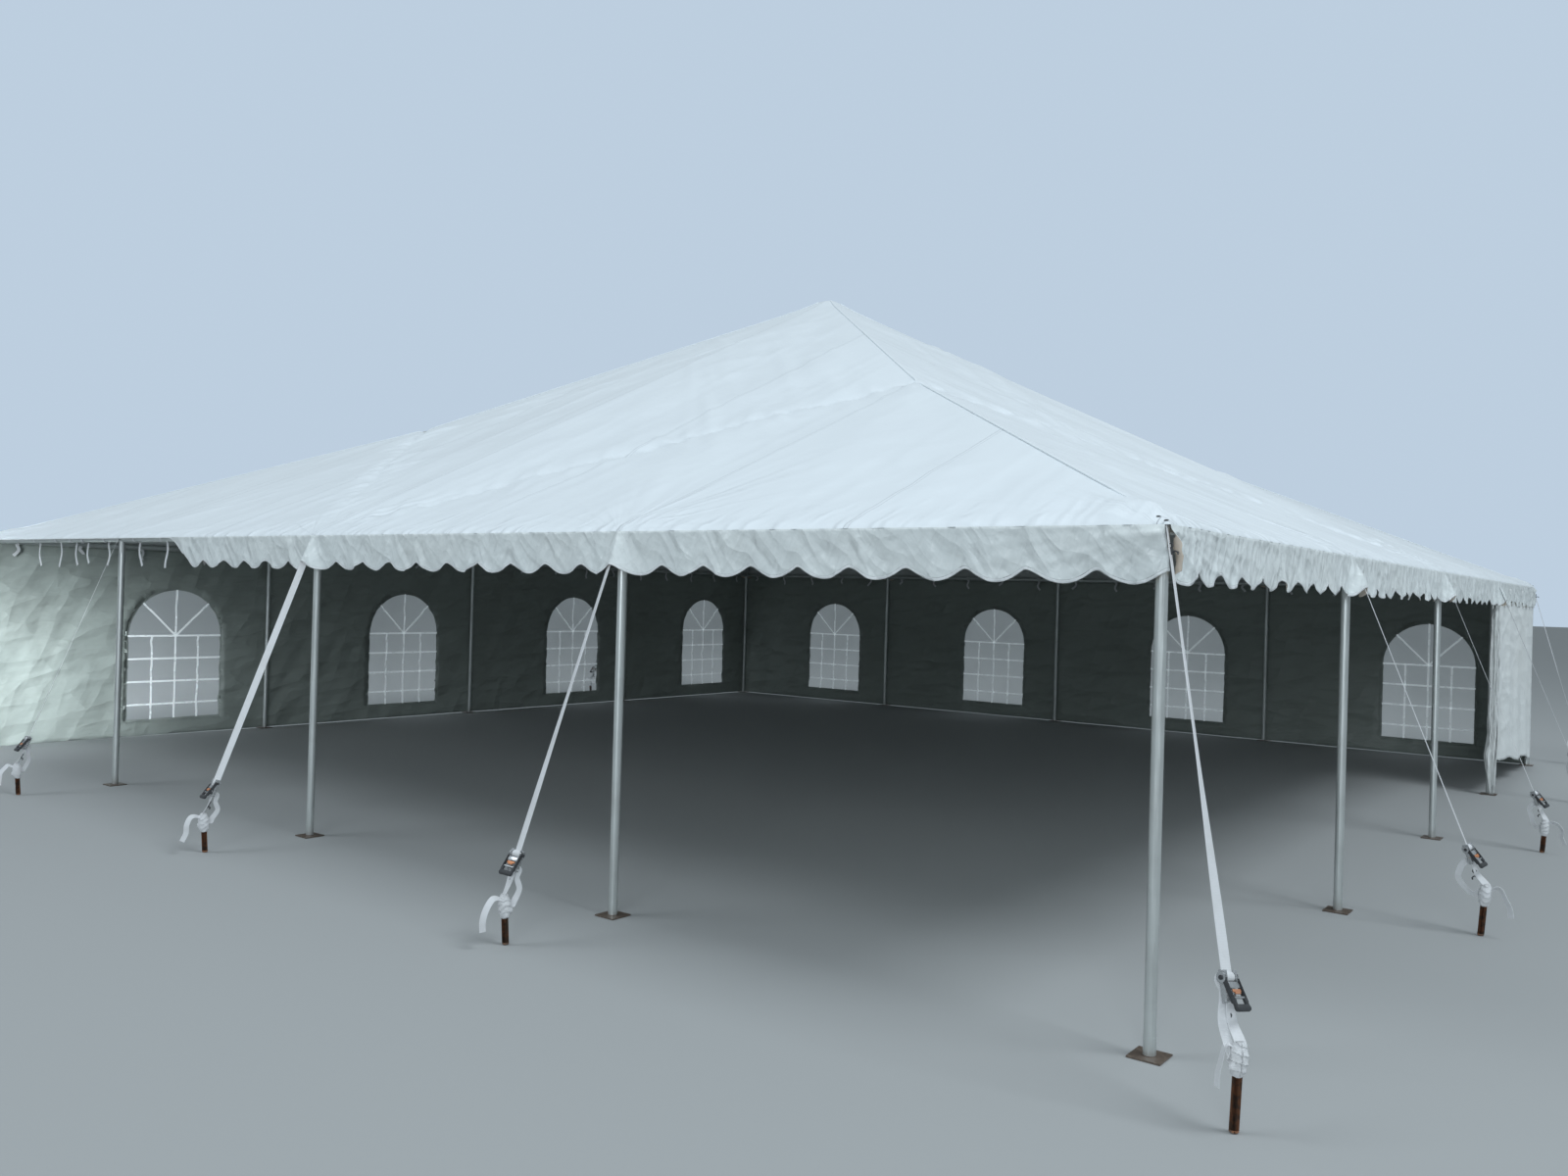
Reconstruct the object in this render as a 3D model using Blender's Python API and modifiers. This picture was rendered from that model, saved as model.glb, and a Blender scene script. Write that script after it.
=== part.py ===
"""Frame tent of four by four bays with a hip roof, scalloped valances and windowed sidewalls.

Units are metres, +Z is up, and the origin is on the ground at the middle of the tent.
Every side is first laid out as the front side, which faces -Y, and then turned to its place.
"""
import math

import bmesh
import bpy
from mathutils import Matrix, Vector

# Plan and heights of the frame, at the centre lines of the tubes
BAY = 3.048
BAYS = 4
RAIL_HEIGHT = 2.12
KNEE_HEIGHT = 3.40
CROWN_HEIGHT = 5.03

# Tubes and fittings
TUBE_RADIUS = 0.0255
SOCKET_RADIUS = 0.0265
SLEEVE_RADIUS = 0.0275
FITTING_RADIUS = 0.0305
SLEEVE_LENGTH = 0.20
SOCKET_LENGTH = 0.12
STUB_LENGTH = 0.16
CROWN_RADIUS = 0.08
CROWN_DEPTH = 0.12
CROWN_STUB_ROOT = 0.012
TUBE_SIDES = 12
LEG_SIDES = 16

# Rolls that keep the facets of joined tubes from falling edge on edge, and the widest angle shaded smooth
RAIL_ROLL = math.radians(15)
STUB_ROLL = math.radians(7)
BALL_ROLL = math.radians(20)
SMOOTH_ANGLE = math.radians(40)

# Feet
PLATE_SIZE = 0.14
PLATE_THICKNESS = 0.006
COLLAR_HEIGHT = 0.075

# Canopy and valance
FABRIC_THICKNESS = 0.003
VALANCE_OFFSET = 0.036
VALANCE_DEPTH = 0.24
SCALLOPS_PER_BAY = 10
SCALLOP_RISE = 0.048
SCALLOP_STEPS = 4
VALANCE_CUT_TOP = 0.045
VALANCE_CUT_BOTTOM = 0.085
VALANCE_FLARE_REACH = 0.45
VALANCE_STRAP_CLEARANCE = 0.02
FRONT_VALANCE_MISSING = 3.96
FRONT_VALANCE_TAPER = 0.45
VALANCE_SLIVER = 0.15

# Sidewalls and their windows
WALL_TOP_DROP = 0.05
WALL_BOTTOM = 0.02
WINDOW_WIDTH = 1.05
WINDOW_SILL = 0.19
WINDOW_SPRING = 1.13
WINDOW_PLACE = 0.645
ARCH_STEPS = 12
FILM_THICKNESS = 0.001
FILM_MARGIN = 0.03

# Curtain that closes the last bay of the right side, hitched up and bunched at its open edge
RETURN_HEM_FREE = 0.36
RETURN_HEM_CORNER = 0.10
RETURN_LAP = 0.07
BUNDLE_TOP = 1.85
BUNDLE_WIDEST_HEIGHT = 0.40
BUNDLE_OUT = 0.030
BUNDLE_WIDTH_TOP = 0.10
BUNDLE_WIDTH_WIDEST = 0.13
BUNDLE_WIDTH_BOTTOM = 0.05
BUNDLE_DEPTH_TOP = 0.044
BUNDLE_DEPTH_WIDEST = 0.088
BUNDLE_DEPTH_BOTTOM = 0.040
BUNDLE_FOLDS = 9
BUNDLE_FOLD_DEPTH = 0.22

# Tie-downs
STAKE_OUT_SIDE = 0.75
STAKE_OUT_CORNER = 0.68
STAKE_HEIGHT = 0.27
STAKE_RADIUS = 0.015
STAKE_LEAN = 0.07
STAKE_SIDES = 10
STRAP_WIDTH = 0.05
STRAP_THICKNESS = 0.003
STRAP_END_HEIGHT = 0.24
WRAP_HEIGHT = 0.12
WRAP_RADIUS = 0.030
RATCHET_HEIGHT = 0.45
RATCHET_LENGTH = 0.15
RATCHET_WIDTH = 0.062
RATCHET_THICKNESS = 0.034
HANDLE_LENGTH = 0.13
HANDLE_WIDTH = 0.04
HANDLE_THICKNESS = 0.018
HANDLE_TILT = 0.22

# Clearance between pieces that touch
GAP = 0.0003

HALF = BAY * BAYS / 2
KNEE_PLACE = HALF - BAY
LAST_LEG_PLACE = HALF - BAY
SIDES = ("front", "right", "back", "left")
CORNERS = ("front_left", "front_right", "back_right", "back_left")
WALLED_SIDES = ("back", "left")

# Slopes of the roof: down the middle rafter, across it towards the knee, and from knee to eave
MAIN_SLOPE = (CROWN_HEIGHT - RAIL_HEIGHT) / HALF
CROSS_SLOPE = (CROWN_HEIGHT - MAIN_SLOPE * KNEE_PLACE - KNEE_HEIGHT) / KNEE_PLACE
EAVE_SLOPE = (KNEE_HEIGHT - RAIL_HEIGHT) / (HALF - KNEE_PLACE)
STEEPEST = max(math.hypot(MAIN_SLOPE, CROSS_SLOPE), EAVE_SLOPE)

# The canopy's underside clears the fittings by this much above the tubes' centre lines
COVER_RISE = (FITTING_RADIUS + GAP) * math.hypot(1, STEEPEST)
EAVE_OFFSET = VALANCE_OFFSET + FABRIC_THICKNESS
WALL_INNER = SOCKET_RADIUS + GAP
WALL_OUTER = WALL_INNER + FABRIC_THICKNESS
WALL_TOP = RAIL_HEIGHT - WALL_TOP_DROP
BUNDLE_BOTTOM = PLATE_THICKNESS + GAP
STRAP_SLOPE = (STAKE_OUT_SIDE - FITTING_RADIUS) / (RAIL_HEIGHT - STRAP_END_HEIGHT)

model = None
cutters = None


def clear_scene():
    """Remove every object that the file opened with."""
    for item in list(bpy.data.objects):
        bpy.data.objects.remove(item, do_unlink=True)


def new_collection(name):
    """Make a collection under the scene's own."""
    group = bpy.data.collections.new(name)
    bpy.context.scene.collection.children.link(group)
    return group


def new_material(name, colour, roughness, metallic=0.0, alpha=1.0):
    """Make a plain Principled material."""
    material = bpy.data.materials.new(name)
    material.use_nodes = True
    shader = material.node_tree.nodes["Principled BSDF"]
    shader.inputs["Base Color"].default_value = (*colour, 1.0)
    shader.inputs["Roughness"].default_value = roughness
    shader.inputs["Metallic"].default_value = metallic
    shader.inputs["Alpha"].default_value = alpha
    material.diffuse_color = (*colour, alpha)
    return material


def place(name, data, material, turn=0.0, location=(0, 0, 0)):
    """Add one sub-part to the model, turned about +Z and moved to its place."""
    if not data.materials:
        data.materials.append(material)
    item = bpy.data.objects.new(name, data)
    item.location = location
    item.rotation_euler = (0, 0, turn)
    model.objects.link(item)
    return item


def side_turn(side):
    """Angle that turns the front side onto another side."""
    return SIDES.index(side) * math.pi / 2


def turned(point, angle):
    """Turn a point about +Z."""
    return Matrix.Rotation(angle, 4, "Z") @ Vector(point)


def mesh_from(bm, name):
    """Turn a bmesh into a mesh whose faces point outwards."""
    bmesh.ops.recalc_face_normals(bm, faces=bm.faces)
    mesh = bpy.data.meshes.new(name)
    bm.to_mesh(mesh)
    bm.free()
    return mesh


def rounded(mesh):
    """Shade a mesh smooth where its faces meet gently."""
    mesh.shade_smooth()
    mesh.set_sharp_from_angle(angle=SMOOTH_ANGLE)
    return mesh


def tube(start, end, radius, sides=TUBE_SIDES, roll=0.0):
    """Round bar between two points, its flats rolled about its own axis."""
    start = Vector(start)
    end = Vector(end)
    axis = end - start
    bm = bmesh.new()
    bmesh.ops.create_cone(bm, cap_ends=True, segments=sides, radius1=radius, radius2=radius,
                          depth=axis.length)
    spin = Vector((0, 0, 1)).rotation_difference(axis).to_matrix().to_4x4() @ Matrix.Rotation(roll, 4, "Z")
    bmesh.ops.transform(bm, matrix=Matrix.Translation((start + end) / 2) @ spin, verts=bm.verts)
    return mesh_from(bm, "tube")


def ball(centre, radius, facing=(0, -1, 0)):
    """Round joint at the meeting point of tubes, with a pole that faces the strap it carries."""
    bm = bmesh.new()
    bmesh.ops.create_uvsphere(bm, u_segments=TUBE_SIDES, v_segments=TUBE_SIDES // 2, radius=radius)
    facing = Vector(facing)
    aim = Vector((0, 0, 1)).rotation_difference(facing).to_matrix().to_4x4()
    spin = Matrix.Rotation(BALL_ROLL, 4, facing) @ aim
    bmesh.ops.transform(bm, matrix=Matrix.Translation(centre) @ spin, verts=bm.verts)
    return mesh_from(bm, "ball")


def box(size, centre, tilt=0.0):
    """Box of a given size, tilted about +Y and moved to its centre."""
    bm = bmesh.new()
    bmesh.ops.create_cube(bm, size=1.0)
    bmesh.ops.scale(bm, vec=size, verts=bm.verts)
    bmesh.ops.transform(bm, matrix=Matrix.Translation(centre) @ Matrix.Rotation(tilt, 4, "Y"), verts=bm.verts)
    return mesh_from(bm, "box")


def fused(name, pieces):
    """Join overlapping meshes into one closed body with Boolean unions."""
    base = bpy.data.objects.new(name, pieces[0])
    cutters.objects.link(base)
    helpers = [base]
    for piece in pieces[1:]:
        helper = bpy.data.objects.new(name + "_piece", piece)
        helper.hide_render = True
        helper.display_type = "WIRE"
        cutters.objects.link(helper)
        helpers.append(helper)
        union = base.modifiers.new("Join", "BOOLEAN")
        union.operation = "UNION"
        union.object = helper
    bpy.context.view_layer.update()
    graph = bpy.context.evaluated_depsgraph_get()
    mesh = bpy.data.meshes.new_from_object(base.evaluated_get(graph), depsgraph=graph)
    mesh.name = name
    for helper in helpers:
        bpy.data.objects.remove(helper, do_unlink=True)
    return rounded(mesh)


def flat_outline(name, outlines, thickness):
    """Flat sheet from closed outlines, the first outside and the others cut through it."""
    curve = bpy.data.curves.new(name, "CURVE")
    curve.dimensions = "2D"
    curve.fill_mode = "BOTH"
    curve.extrude = thickness / 2
    for outline in outlines:
        spline = curve.splines.new("POLY")
        spline.points.add(len(outline) - 1)
        for point, (across, up) in zip(spline.points, outline):
            point.co = (across, up, 0, 1)
        spline.use_cyclic_u = True
    return curve


def upright_mesh(curve, offset):
    """Mesh of a flat sheet, stood upright along the front side at a distance outside the leg line."""
    item = bpy.data.objects.new(curve.name, curve)
    cutters.objects.link(item)
    bpy.context.view_layer.update()
    graph = bpy.context.evaluated_depsgraph_get()
    mesh = bpy.data.meshes.new_from_object(item.evaluated_get(graph), depsgraph=graph)
    bpy.data.objects.remove(item, do_unlink=True)
    bm = bmesh.new()
    bm.from_mesh(mesh)
    bmesh.ops.remove_doubles(bm, verts=bm.verts, dist=GAP / 3)
    stand = Matrix.Translation((0, -(HALF + offset), 0)) @ Matrix.Rotation(math.pi / 2, 4, "X")
    bmesh.ops.transform(bm, matrix=stand, verts=bm.verts)
    return mesh_from(bm, curve.name)


def crown_point():
    """Meeting point of the rafters at the top."""
    return Vector((0, 0, CROWN_HEIGHT))


def knee_point(across=-1):
    """Bend of the hip rafter at the left or right end of the front side."""
    return Vector((across * KNEE_PLACE, -KNEE_PLACE, KNEE_HEIGHT))


def post_point(index):
    """Centre of the eave rail over a leg of the front side, counted from its left corner."""
    return Vector((-HALF + index * BAY, -HALF, RAIL_HEIGHT))


def rafter_foot_target(index):
    """Point that the rafter over a leg of the front side runs towards."""
    middle = BAYS // 2
    if index == middle:
        return crown_point()
    return knee_point(-1 if index < middle else 1)


def along(start, end, distance):
    """Point at a distance from one point towards another."""
    return start + (end - start).normalized() * distance


def add_legs(material):
    """Sixteen legs, each a tube in a collar on a square base plate."""
    top = RAIL_HEIGHT - SOCKET_LENGTH - GAP
    mesh = fused("leg", [
        tube((0, 0, PLATE_THICKNESS / 2), (0, 0, top), TUBE_RADIUS, LEG_SIDES),
        tube((0, 0, PLATE_THICKNESS / 2), (0, 0, PLATE_THICKNESS + COLLAR_HEIGHT), SOCKET_RADIUS, LEG_SIDES),
        box((PLATE_SIZE, PLATE_SIZE, PLATE_THICKNESS), (0, 0, PLATE_THICKNESS / 2)),
    ])
    for side, corner in zip(SIDES, CORNERS):
        for index in range(BAYS):
            spot = turned(post_point(index), side_turn(side))
            name = f"leg_{corner}" if index == 0 else f"leg_{side}_{index}"
            place(name, mesh, material, side_turn(side), (spot.x, spot.y, 0))


def add_rails(material):
    """Eave rail of each side, with a socket over each leg and a stub for each rafter.

    The fitting at its left corner also takes the end of the rail of the side before it.
    """
    start = post_point(0)
    end = post_point(BAYS) - Vector((SLEEVE_LENGTH / 2 + GAP, 0, 0))
    pieces = [
        tube(start, end, TUBE_RADIUS, roll=RAIL_ROLL),
        tube(start, start + Vector((0, SLEEVE_LENGTH / 2, 0)), SLEEVE_RADIUS, roll=STUB_ROLL),
    ]
    for index in range(BAYS):
        spot = post_point(index)
        sleeve_start = spot if index == 0 else spot - Vector((SLEEVE_LENGTH / 2, 0, 0))
        sleeve_end = spot + Vector((SLEEVE_LENGTH / 2, 0, 0))
        stub_end = along(spot, rafter_foot_target(index), STUB_LENGTH)
        pieces.append(ball(spot, FITTING_RADIUS, (-1, -1, 0) if index == 0 else (0, -1, 0)))
        pieces.append(tube(sleeve_start, sleeve_end, SLEEVE_RADIUS, roll=RAIL_ROLL))
        pieces.append(tube(spot - Vector((0, 0, SOCKET_LENGTH)), spot, SOCKET_RADIUS))
        pieces.append(tube(spot, stub_end, SOCKET_RADIUS, roll=STUB_ROLL))
    mesh = fused("eave_rail", pieces)
    for side in SIDES:
        place(f"eave_rail_{side}", mesh, material, side_turn(side))


def add_hip_rafters(material):
    """Hip rafter of each corner, bent at the knee, where two jack rafters join it."""
    knee = knee_point()
    corner = post_point(0)
    side_foot = Vector((corner.x, knee.y, RAIL_HEIGHT))
    front_foot = Vector((knee.x, corner.y, RAIL_HEIGHT))
    reach = STUB_LENGTH + GAP
    mesh = fused("hip_rafter", [
        ball(knee, FITTING_RADIUS),
        tube(along(corner, knee, reach), knee, TUBE_RADIUS),
        tube(knee, along(crown_point(), knee, reach), TUBE_RADIUS, roll=STUB_ROLL),
        tube(along(side_foot, knee, reach), knee, TUBE_RADIUS, roll=RAIL_ROLL),
        tube(along(front_foot, knee, reach), knee, TUBE_RADIUS, roll=BALL_ROLL),
    ])
    for side, corner_name in zip(SIDES, CORNERS):
        place(f"hip_rafter_{corner_name}", mesh, material, side_turn(side))


def add_main_rafters(material):
    """Straight rafter from the middle leg of each side to the crown."""
    foot = post_point(BAYS // 2)
    reach = STUB_LENGTH + GAP
    mesh = rounded(tube(along(foot, crown_point(), reach), along(crown_point(), foot, reach), TUBE_RADIUS))
    for side in SIDES:
        place(f"main_rafter_{side}", mesh, material, side_turn(side))


def add_crown(material):
    """Crown fitting with eight stubs under the peak of the canopy."""
    crown = crown_point()
    top = CROWN_HEIGHT + COVER_RISE - CROWN_RADIUS * MAIN_SLOPE - GAP
    pieces = [tube((0, 0, top - CROWN_DEPTH), (0, 0, top), CROWN_RADIUS, LEG_SIDES)]
    for side in SIDES:
        for target in (post_point(BAYS // 2), knee_point()):
            foot = turned(target, side_turn(side))
            root = along(crown, foot, CROWN_RADIUS - CROWN_STUB_ROOT)
            pieces.append(tube(root, along(crown, foot, STUB_LENGTH), SOCKET_RADIUS))
    place("crown_fitting", fused("crown_fitting", pieces), material)


def roof_point(across, inward):
    """Point on the underside of the front roof panel.

    across runs from -1 at the left hip to 1 at the right one, with the fold to the knee at one half.
    inward is the level: 0 at the eave edge, 1 over the rail, 2 at the knee, 3 at the crown.
    """
    reach = (HALF + EAVE_OFFSET, HALF, KNEE_PLACE, 0.0)[inward]
    fold = (0.0, 0.0, 1.0, 1.0)[inward]
    outer = max(0.0, abs(across) - 0.5) * 2
    share = min(abs(across) * 2, 1.0) * fold
    share += outer * (1.0 - fold)
    x = math.copysign(share * reach, across)
    upper = CROWN_HEIGHT - MAIN_SLOPE * reach - CROSS_SLOPE * abs(x)
    lower = RAIL_HEIGHT + EAVE_SLOPE * (HALF - reach)
    return Vector((x, -reach - GAP, max(upper, lower) + COVER_RISE))


def add_roof_panels(material):
    """Four roof panels, each folded from the middle leg to both knees."""
    bm = bmesh.new()
    bmesh.ops.create_grid(bm, x_segments=4, y_segments=3, size=1.0)
    for vert in bm.verts:
        vert.co = roof_point(round(vert.co.x * 2) / 2, round((vert.co.y + 1) * 1.5))
    bmesh.ops.remove_doubles(bm, verts=bm.verts, dist=GAP / 3)
    mesh = bpy.data.meshes.new("roof_panel")
    bm.to_mesh(mesh)
    bm.free()
    for side in SIDES:
        item = place(f"roof_panel_{side}", mesh, material, side_turn(side))
        thicken(item, FABRIC_THICKNESS)


def thicken(item, thickness):
    """Give a sheet its thickness on its outer side."""
    solid = item.modifiers.new("Thickness", "SOLIDIFY")
    solid.thickness = thickness
    solid.offset = 1.0
    solid.use_even_offset = True


def valance_flare(x):
    """How far out of plumb the valance hangs, which is most where it lies over a strap."""
    steepness = STRAP_SLOPE + VALANCE_STRAP_CLEARANCE / VALANCE_DEPTH
    nearest = abs((x + HALF + BAY / 2) % BAY - BAY / 2)
    if nearest >= VALANCE_FLARE_REACH:
        return 0.0
    return steepness * (1 + math.cos(math.pi * nearest / VALANCE_FLARE_REACH)) / 2


def valance_mesh(name, left_end, taper):
    """Scalloped valance of the front side from its left end to the right corner.

    Over the length of the taper at its left end the valance narrows to a sliver under the eave.
    """
    step = BAY / SCALLOPS_PER_BAY / SCALLOP_STEPS
    columns = round((HALF - left_end) / step)
    steepness = valance_flare(-HALF)
    lap = FABRIC_THICKNESS * steepness / math.hypot(1, steepness)
    top = RAIL_HEIGHT + COVER_RISE - EAVE_SLOPE * EAVE_OFFSET - GAP - lap
    bm = bmesh.new()
    bmesh.ops.create_grid(bm, x_segments=columns, y_segments=1, size=1.0)
    for vert in bm.verts:
        column = round((vert.co.x + 1) / 2 * columns)
        bottom = vert.co.y < 0
        x = HALF - (columns - column) * step
        drop = 0.0
        if bottom:
            swing = math.sin(math.pi * (column % SCALLOP_STEPS) / SCALLOP_STEPS)
            drop = VALANCE_DEPTH - SCALLOP_RISE * (1 - swing)
            if x < left_end + taper:
                drop *= VALANCE_SLIVER + (1 - VALANCE_SLIVER) * (x - left_end) / taper
        out = VALANCE_OFFSET + valance_flare(x) * drop
        if column == columns:
            x += VALANCE_OFFSET - (VALANCE_CUT_BOTTOM if bottom else VALANCE_CUT_TOP)
        if column == 0:
            x -= VALANCE_OFFSET - (VALANCE_CUT_BOTTOM if bottom else VALANCE_CUT_TOP)
        vert.co = (x, -(HALF + out), top - drop)
    mesh = bpy.data.meshes.new(name)
    bm.to_mesh(mesh)
    bm.free()
    return mesh


def add_valances(material):
    """Valance of each side; the front one is missing near the left corner, where it is turned up."""
    whole = valance_mesh("valance", -HALF, 0.0)
    short = valance_mesh("valance_short", -HALF + FRONT_VALANCE_MISSING, FRONT_VALANCE_TAPER)
    for side in SIDES:
        mesh = short if side == "front" else whole
        item = place(f"valance_{side}", mesh, material, side_turn(side))
        thicken(item, FABRIC_THICKNESS)


def window_centres():
    """Places of the windows along a walled side."""
    return [HALF - (index + WINDOW_PLACE) * BAY for index in range(BAYS)]


def window_outline(centre):
    """Arched window outline: a straight sill and sides under a half round head."""
    radius = WINDOW_WIDTH / 2
    points = [(centre - radius, WINDOW_SILL), (centre + radius, WINDOW_SILL)]
    for step in range(ARCH_STEPS + 1):
        angle = math.pi * step / ARCH_STEPS
        points.append((centre + radius * math.cos(angle), WINDOW_SPRING + radius * math.sin(angle)))
    return points


def add_sidewalls(fabric, film):
    """Sidewall of each closed side, hung outside the legs, and the clear film of its windows."""
    left = -(HALF + WALL_OUTER)
    right = HALF + WALL_INNER - GAP
    outer = [(left, WALL_BOTTOM), (right, WALL_BOTTOM), (right, WALL_TOP), (left, WALL_TOP)]
    outlines = [outer] + [window_outline(centre) for centre in window_centres()]
    sheet = flat_outline("sidewall", outlines, FABRIC_THICKNESS)
    wall = upright_mesh(sheet, (WALL_INNER + WALL_OUTER) / 2)

    reach = WINDOW_WIDTH / 2 + FILM_MARGIN
    film_left = min(window_centres()) - reach
    film_right = max(window_centres()) + reach
    film_low = WINDOW_SILL - FILM_MARGIN
    film_high = WINDOW_SPRING + reach
    film_out = HALF + WALL_OUTER + GAP + FILM_THICKNESS / 2
    size = (film_right - film_left, FILM_THICKNESS, film_high - film_low)
    centre = ((film_left + film_right) / 2, -film_out, (film_low + film_high) / 2)
    panes = box(size, centre)
    for side in WALLED_SIDES:
        place(f"sidewall_{side}", wall, fabric, side_turn(side))
        place(f"window_film_{side}", panes, film, side_turn(side))


def curtain_bundle():
    """Gathered folds of the return curtain in front of a leg, running out to a tip at the ground."""
    bm = bmesh.new()
    height = BUNDLE_TOP - BUNDLE_BOTTOM
    bmesh.ops.create_cone(bm, cap_ends=True, segments=BUNDLE_FOLDS * 2, radius1=1.0, radius2=1.0, depth=1.0)
    widest = (BUNDLE_WIDEST_HEIGHT - BUNDLE_BOTTOM) / height - 0.5
    everything = bm.verts[:] + bm.edges[:] + bm.faces[:]
    bmesh.ops.bisect_plane(bm, geom=everything, plane_co=(0, 0, widest), plane_no=(0, 0, 1))
    for vert in bm.verts:
        width, depth = BUNDLE_WIDTH_WIDEST, BUNDLE_DEPTH_WIDEST
        if vert.co.z > 0.49:
            width, depth = BUNDLE_WIDTH_TOP, BUNDLE_DEPTH_TOP
        elif vert.co.z < -0.49:
            width, depth = BUNDLE_WIDTH_BOTTOM, BUNDLE_DEPTH_BOTTOM
        turn = math.atan2(vert.co.x, vert.co.y)
        fold = 1 - BUNDLE_FOLD_DEPTH * (round(turn / (math.pi / BUNDLE_FOLDS)) % 2)
        vert.co = (
            LAST_LEG_PLACE - WALL_INNER - depth / 2 * (1 - math.cos(turn) * fold),
            -(HALF + BUNDLE_OUT + width / 2 * math.sin(turn) * fold),
            BUNDLE_BOTTOM + height * (vert.co.z + 0.5),
        )
    bmesh.ops.recalc_face_normals(bm, faces=bm.faces[:])
    return mesh_from(bm, "bundle")


def add_return_curtain(fabric):
    """Curtain over the last bay of the right side, hitched up from the ground."""
    free = LAST_LEG_PLACE - RETURN_LAP
    corner = HALF + WALL_INNER - GAP
    outline = [(free, RETURN_HEM_FREE), (corner, RETURN_HEM_CORNER), (corner, WALL_TOP), (free, WALL_TOP)]
    sheet = flat_outline("return_sheet", [outline], FABRIC_THICKNESS)
    panel = upright_mesh(sheet, (WALL_INNER + WALL_OUTER) / 2)
    mesh = fused("return_curtain", [panel, curtain_bundle()])
    place("return_curtain", mesh, fabric, side_turn("right"))


def stake_mesh(out):
    """Steel stake from the ground up, leaning a little away from the tent."""
    bm = bmesh.new()
    bmesh.ops.create_cone(bm, cap_ends=True, segments=STAKE_SIDES, radius1=STAKE_RADIUS, radius2=STAKE_RADIUS,
                          depth=STAKE_HEIGHT)
    for vert in bm.verts:
        level = vert.co.z + STAKE_HEIGHT / 2
        vert.co = (vert.co.x + out + STAKE_LEAN * level, vert.co.y, level)
    return mesh_from(bm, "stake")


def tie_down_mesh(name, out):
    """Webbing strap, ratchet and stake of one leg, which stands at the origin with the stake along +X."""
    start = Vector((FITTING_RADIUS + GAP, 0, RAIL_HEIGHT))
    end = Vector((out + STAKE_LEAN * STRAP_END_HEIGHT, 0, STRAP_END_HEIGHT))
    length = (end - start).length
    direction = (end - start) / length
    outward = Vector((-direction.z, 0, direction.x))
    lean = math.atan2(-direction.x, -direction.z)
    strap_centre = (start + end) / 2 + outward * STRAP_THICKNESS / 2
    ratchet_drop = (RAIL_HEIGHT - RATCHET_HEIGHT) / (RAIL_HEIGHT - STRAP_END_HEIGHT)
    ratchet_place = start.lerp(end, ratchet_drop)
    handle_place = ratchet_place + outward * RATCHET_THICKNESS / 2
    wrap_low = end - Vector((0, 0, WRAP_HEIGHT / 2))
    wrap_high = end + Vector((0, 0, WRAP_HEIGHT / 2))
    return fused(name, [
        stake_mesh(out),
        tube(wrap_low, wrap_high, WRAP_RADIUS, STAKE_SIDES, roll=STUB_ROLL),
        box((STRAP_THICKNESS, STRAP_WIDTH, length), strap_centre, lean),
        box((RATCHET_THICKNESS, RATCHET_WIDTH, RATCHET_LENGTH), ratchet_place, lean),
        box((HANDLE_THICKNESS, HANDLE_WIDTH, HANDLE_LENGTH), handle_place, lean + HANDLE_TILT),
    ])


def add_tie_downs(material):
    """Tie-down of each leg: straight out from the sides, and outwards on the diagonal at the corners."""
    at_side = tie_down_mesh("tie_down_side", STAKE_OUT_SIDE)
    at_corner = tie_down_mesh("tie_down_corner", STAKE_OUT_CORNER)
    for side, corner in zip(SIDES, CORNERS):
        for index in range(BAYS):
            spot = turned(post_point(index), side_turn(side))
            if index == 0:
                turn = side_turn(side) - 3 * math.pi / 4
                place(f"tie_down_{corner}", at_corner, material, turn, (spot.x, spot.y, 0))
            else:
                turn = side_turn(side) - math.pi / 2
                place(f"tie_down_{side}_{index}", at_side, material, turn, (spot.x, spot.y, 0))


def main():
    """Build the tent."""
    global model, cutters
    clear_scene()
    model = new_collection("frame_tent")
    cutters = new_collection("cutters")
    vinyl = new_material("white_vinyl", (0.86, 0.87, 0.86), 0.45)
    wall_vinyl = new_material("sidewall_vinyl", (0.80, 0.82, 0.80), 0.5)
    clear_film = new_material("clear_film", (0.90, 0.93, 0.92), 0.12, alpha=0.3)
    aluminium = new_material("aluminium", (0.66, 0.67, 0.68), 0.35, metallic=1.0)
    steel = new_material("galvanised_steel", (0.55, 0.56, 0.57), 0.45, metallic=1.0)
    webbing = new_material("webbing", (0.80, 0.80, 0.78), 0.8)

    add_legs(aluminium)
    add_rails(aluminium)
    add_hip_rafters(aluminium)
    add_main_rafters(aluminium)
    add_crown(steel)
    add_roof_panels(vinyl)
    add_valances(vinyl)
    add_sidewalls(wall_vinyl, clear_film)
    add_return_curtain(wall_vinyl)
    add_tie_downs(webbing)


main()
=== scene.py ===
import logging
import math
from dataclasses import dataclass, field
from enum import Enum
from typing import Callable, Iterable, Sequence

import bpy
import numpy as np
from mathutils import Matrix, Vector


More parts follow.
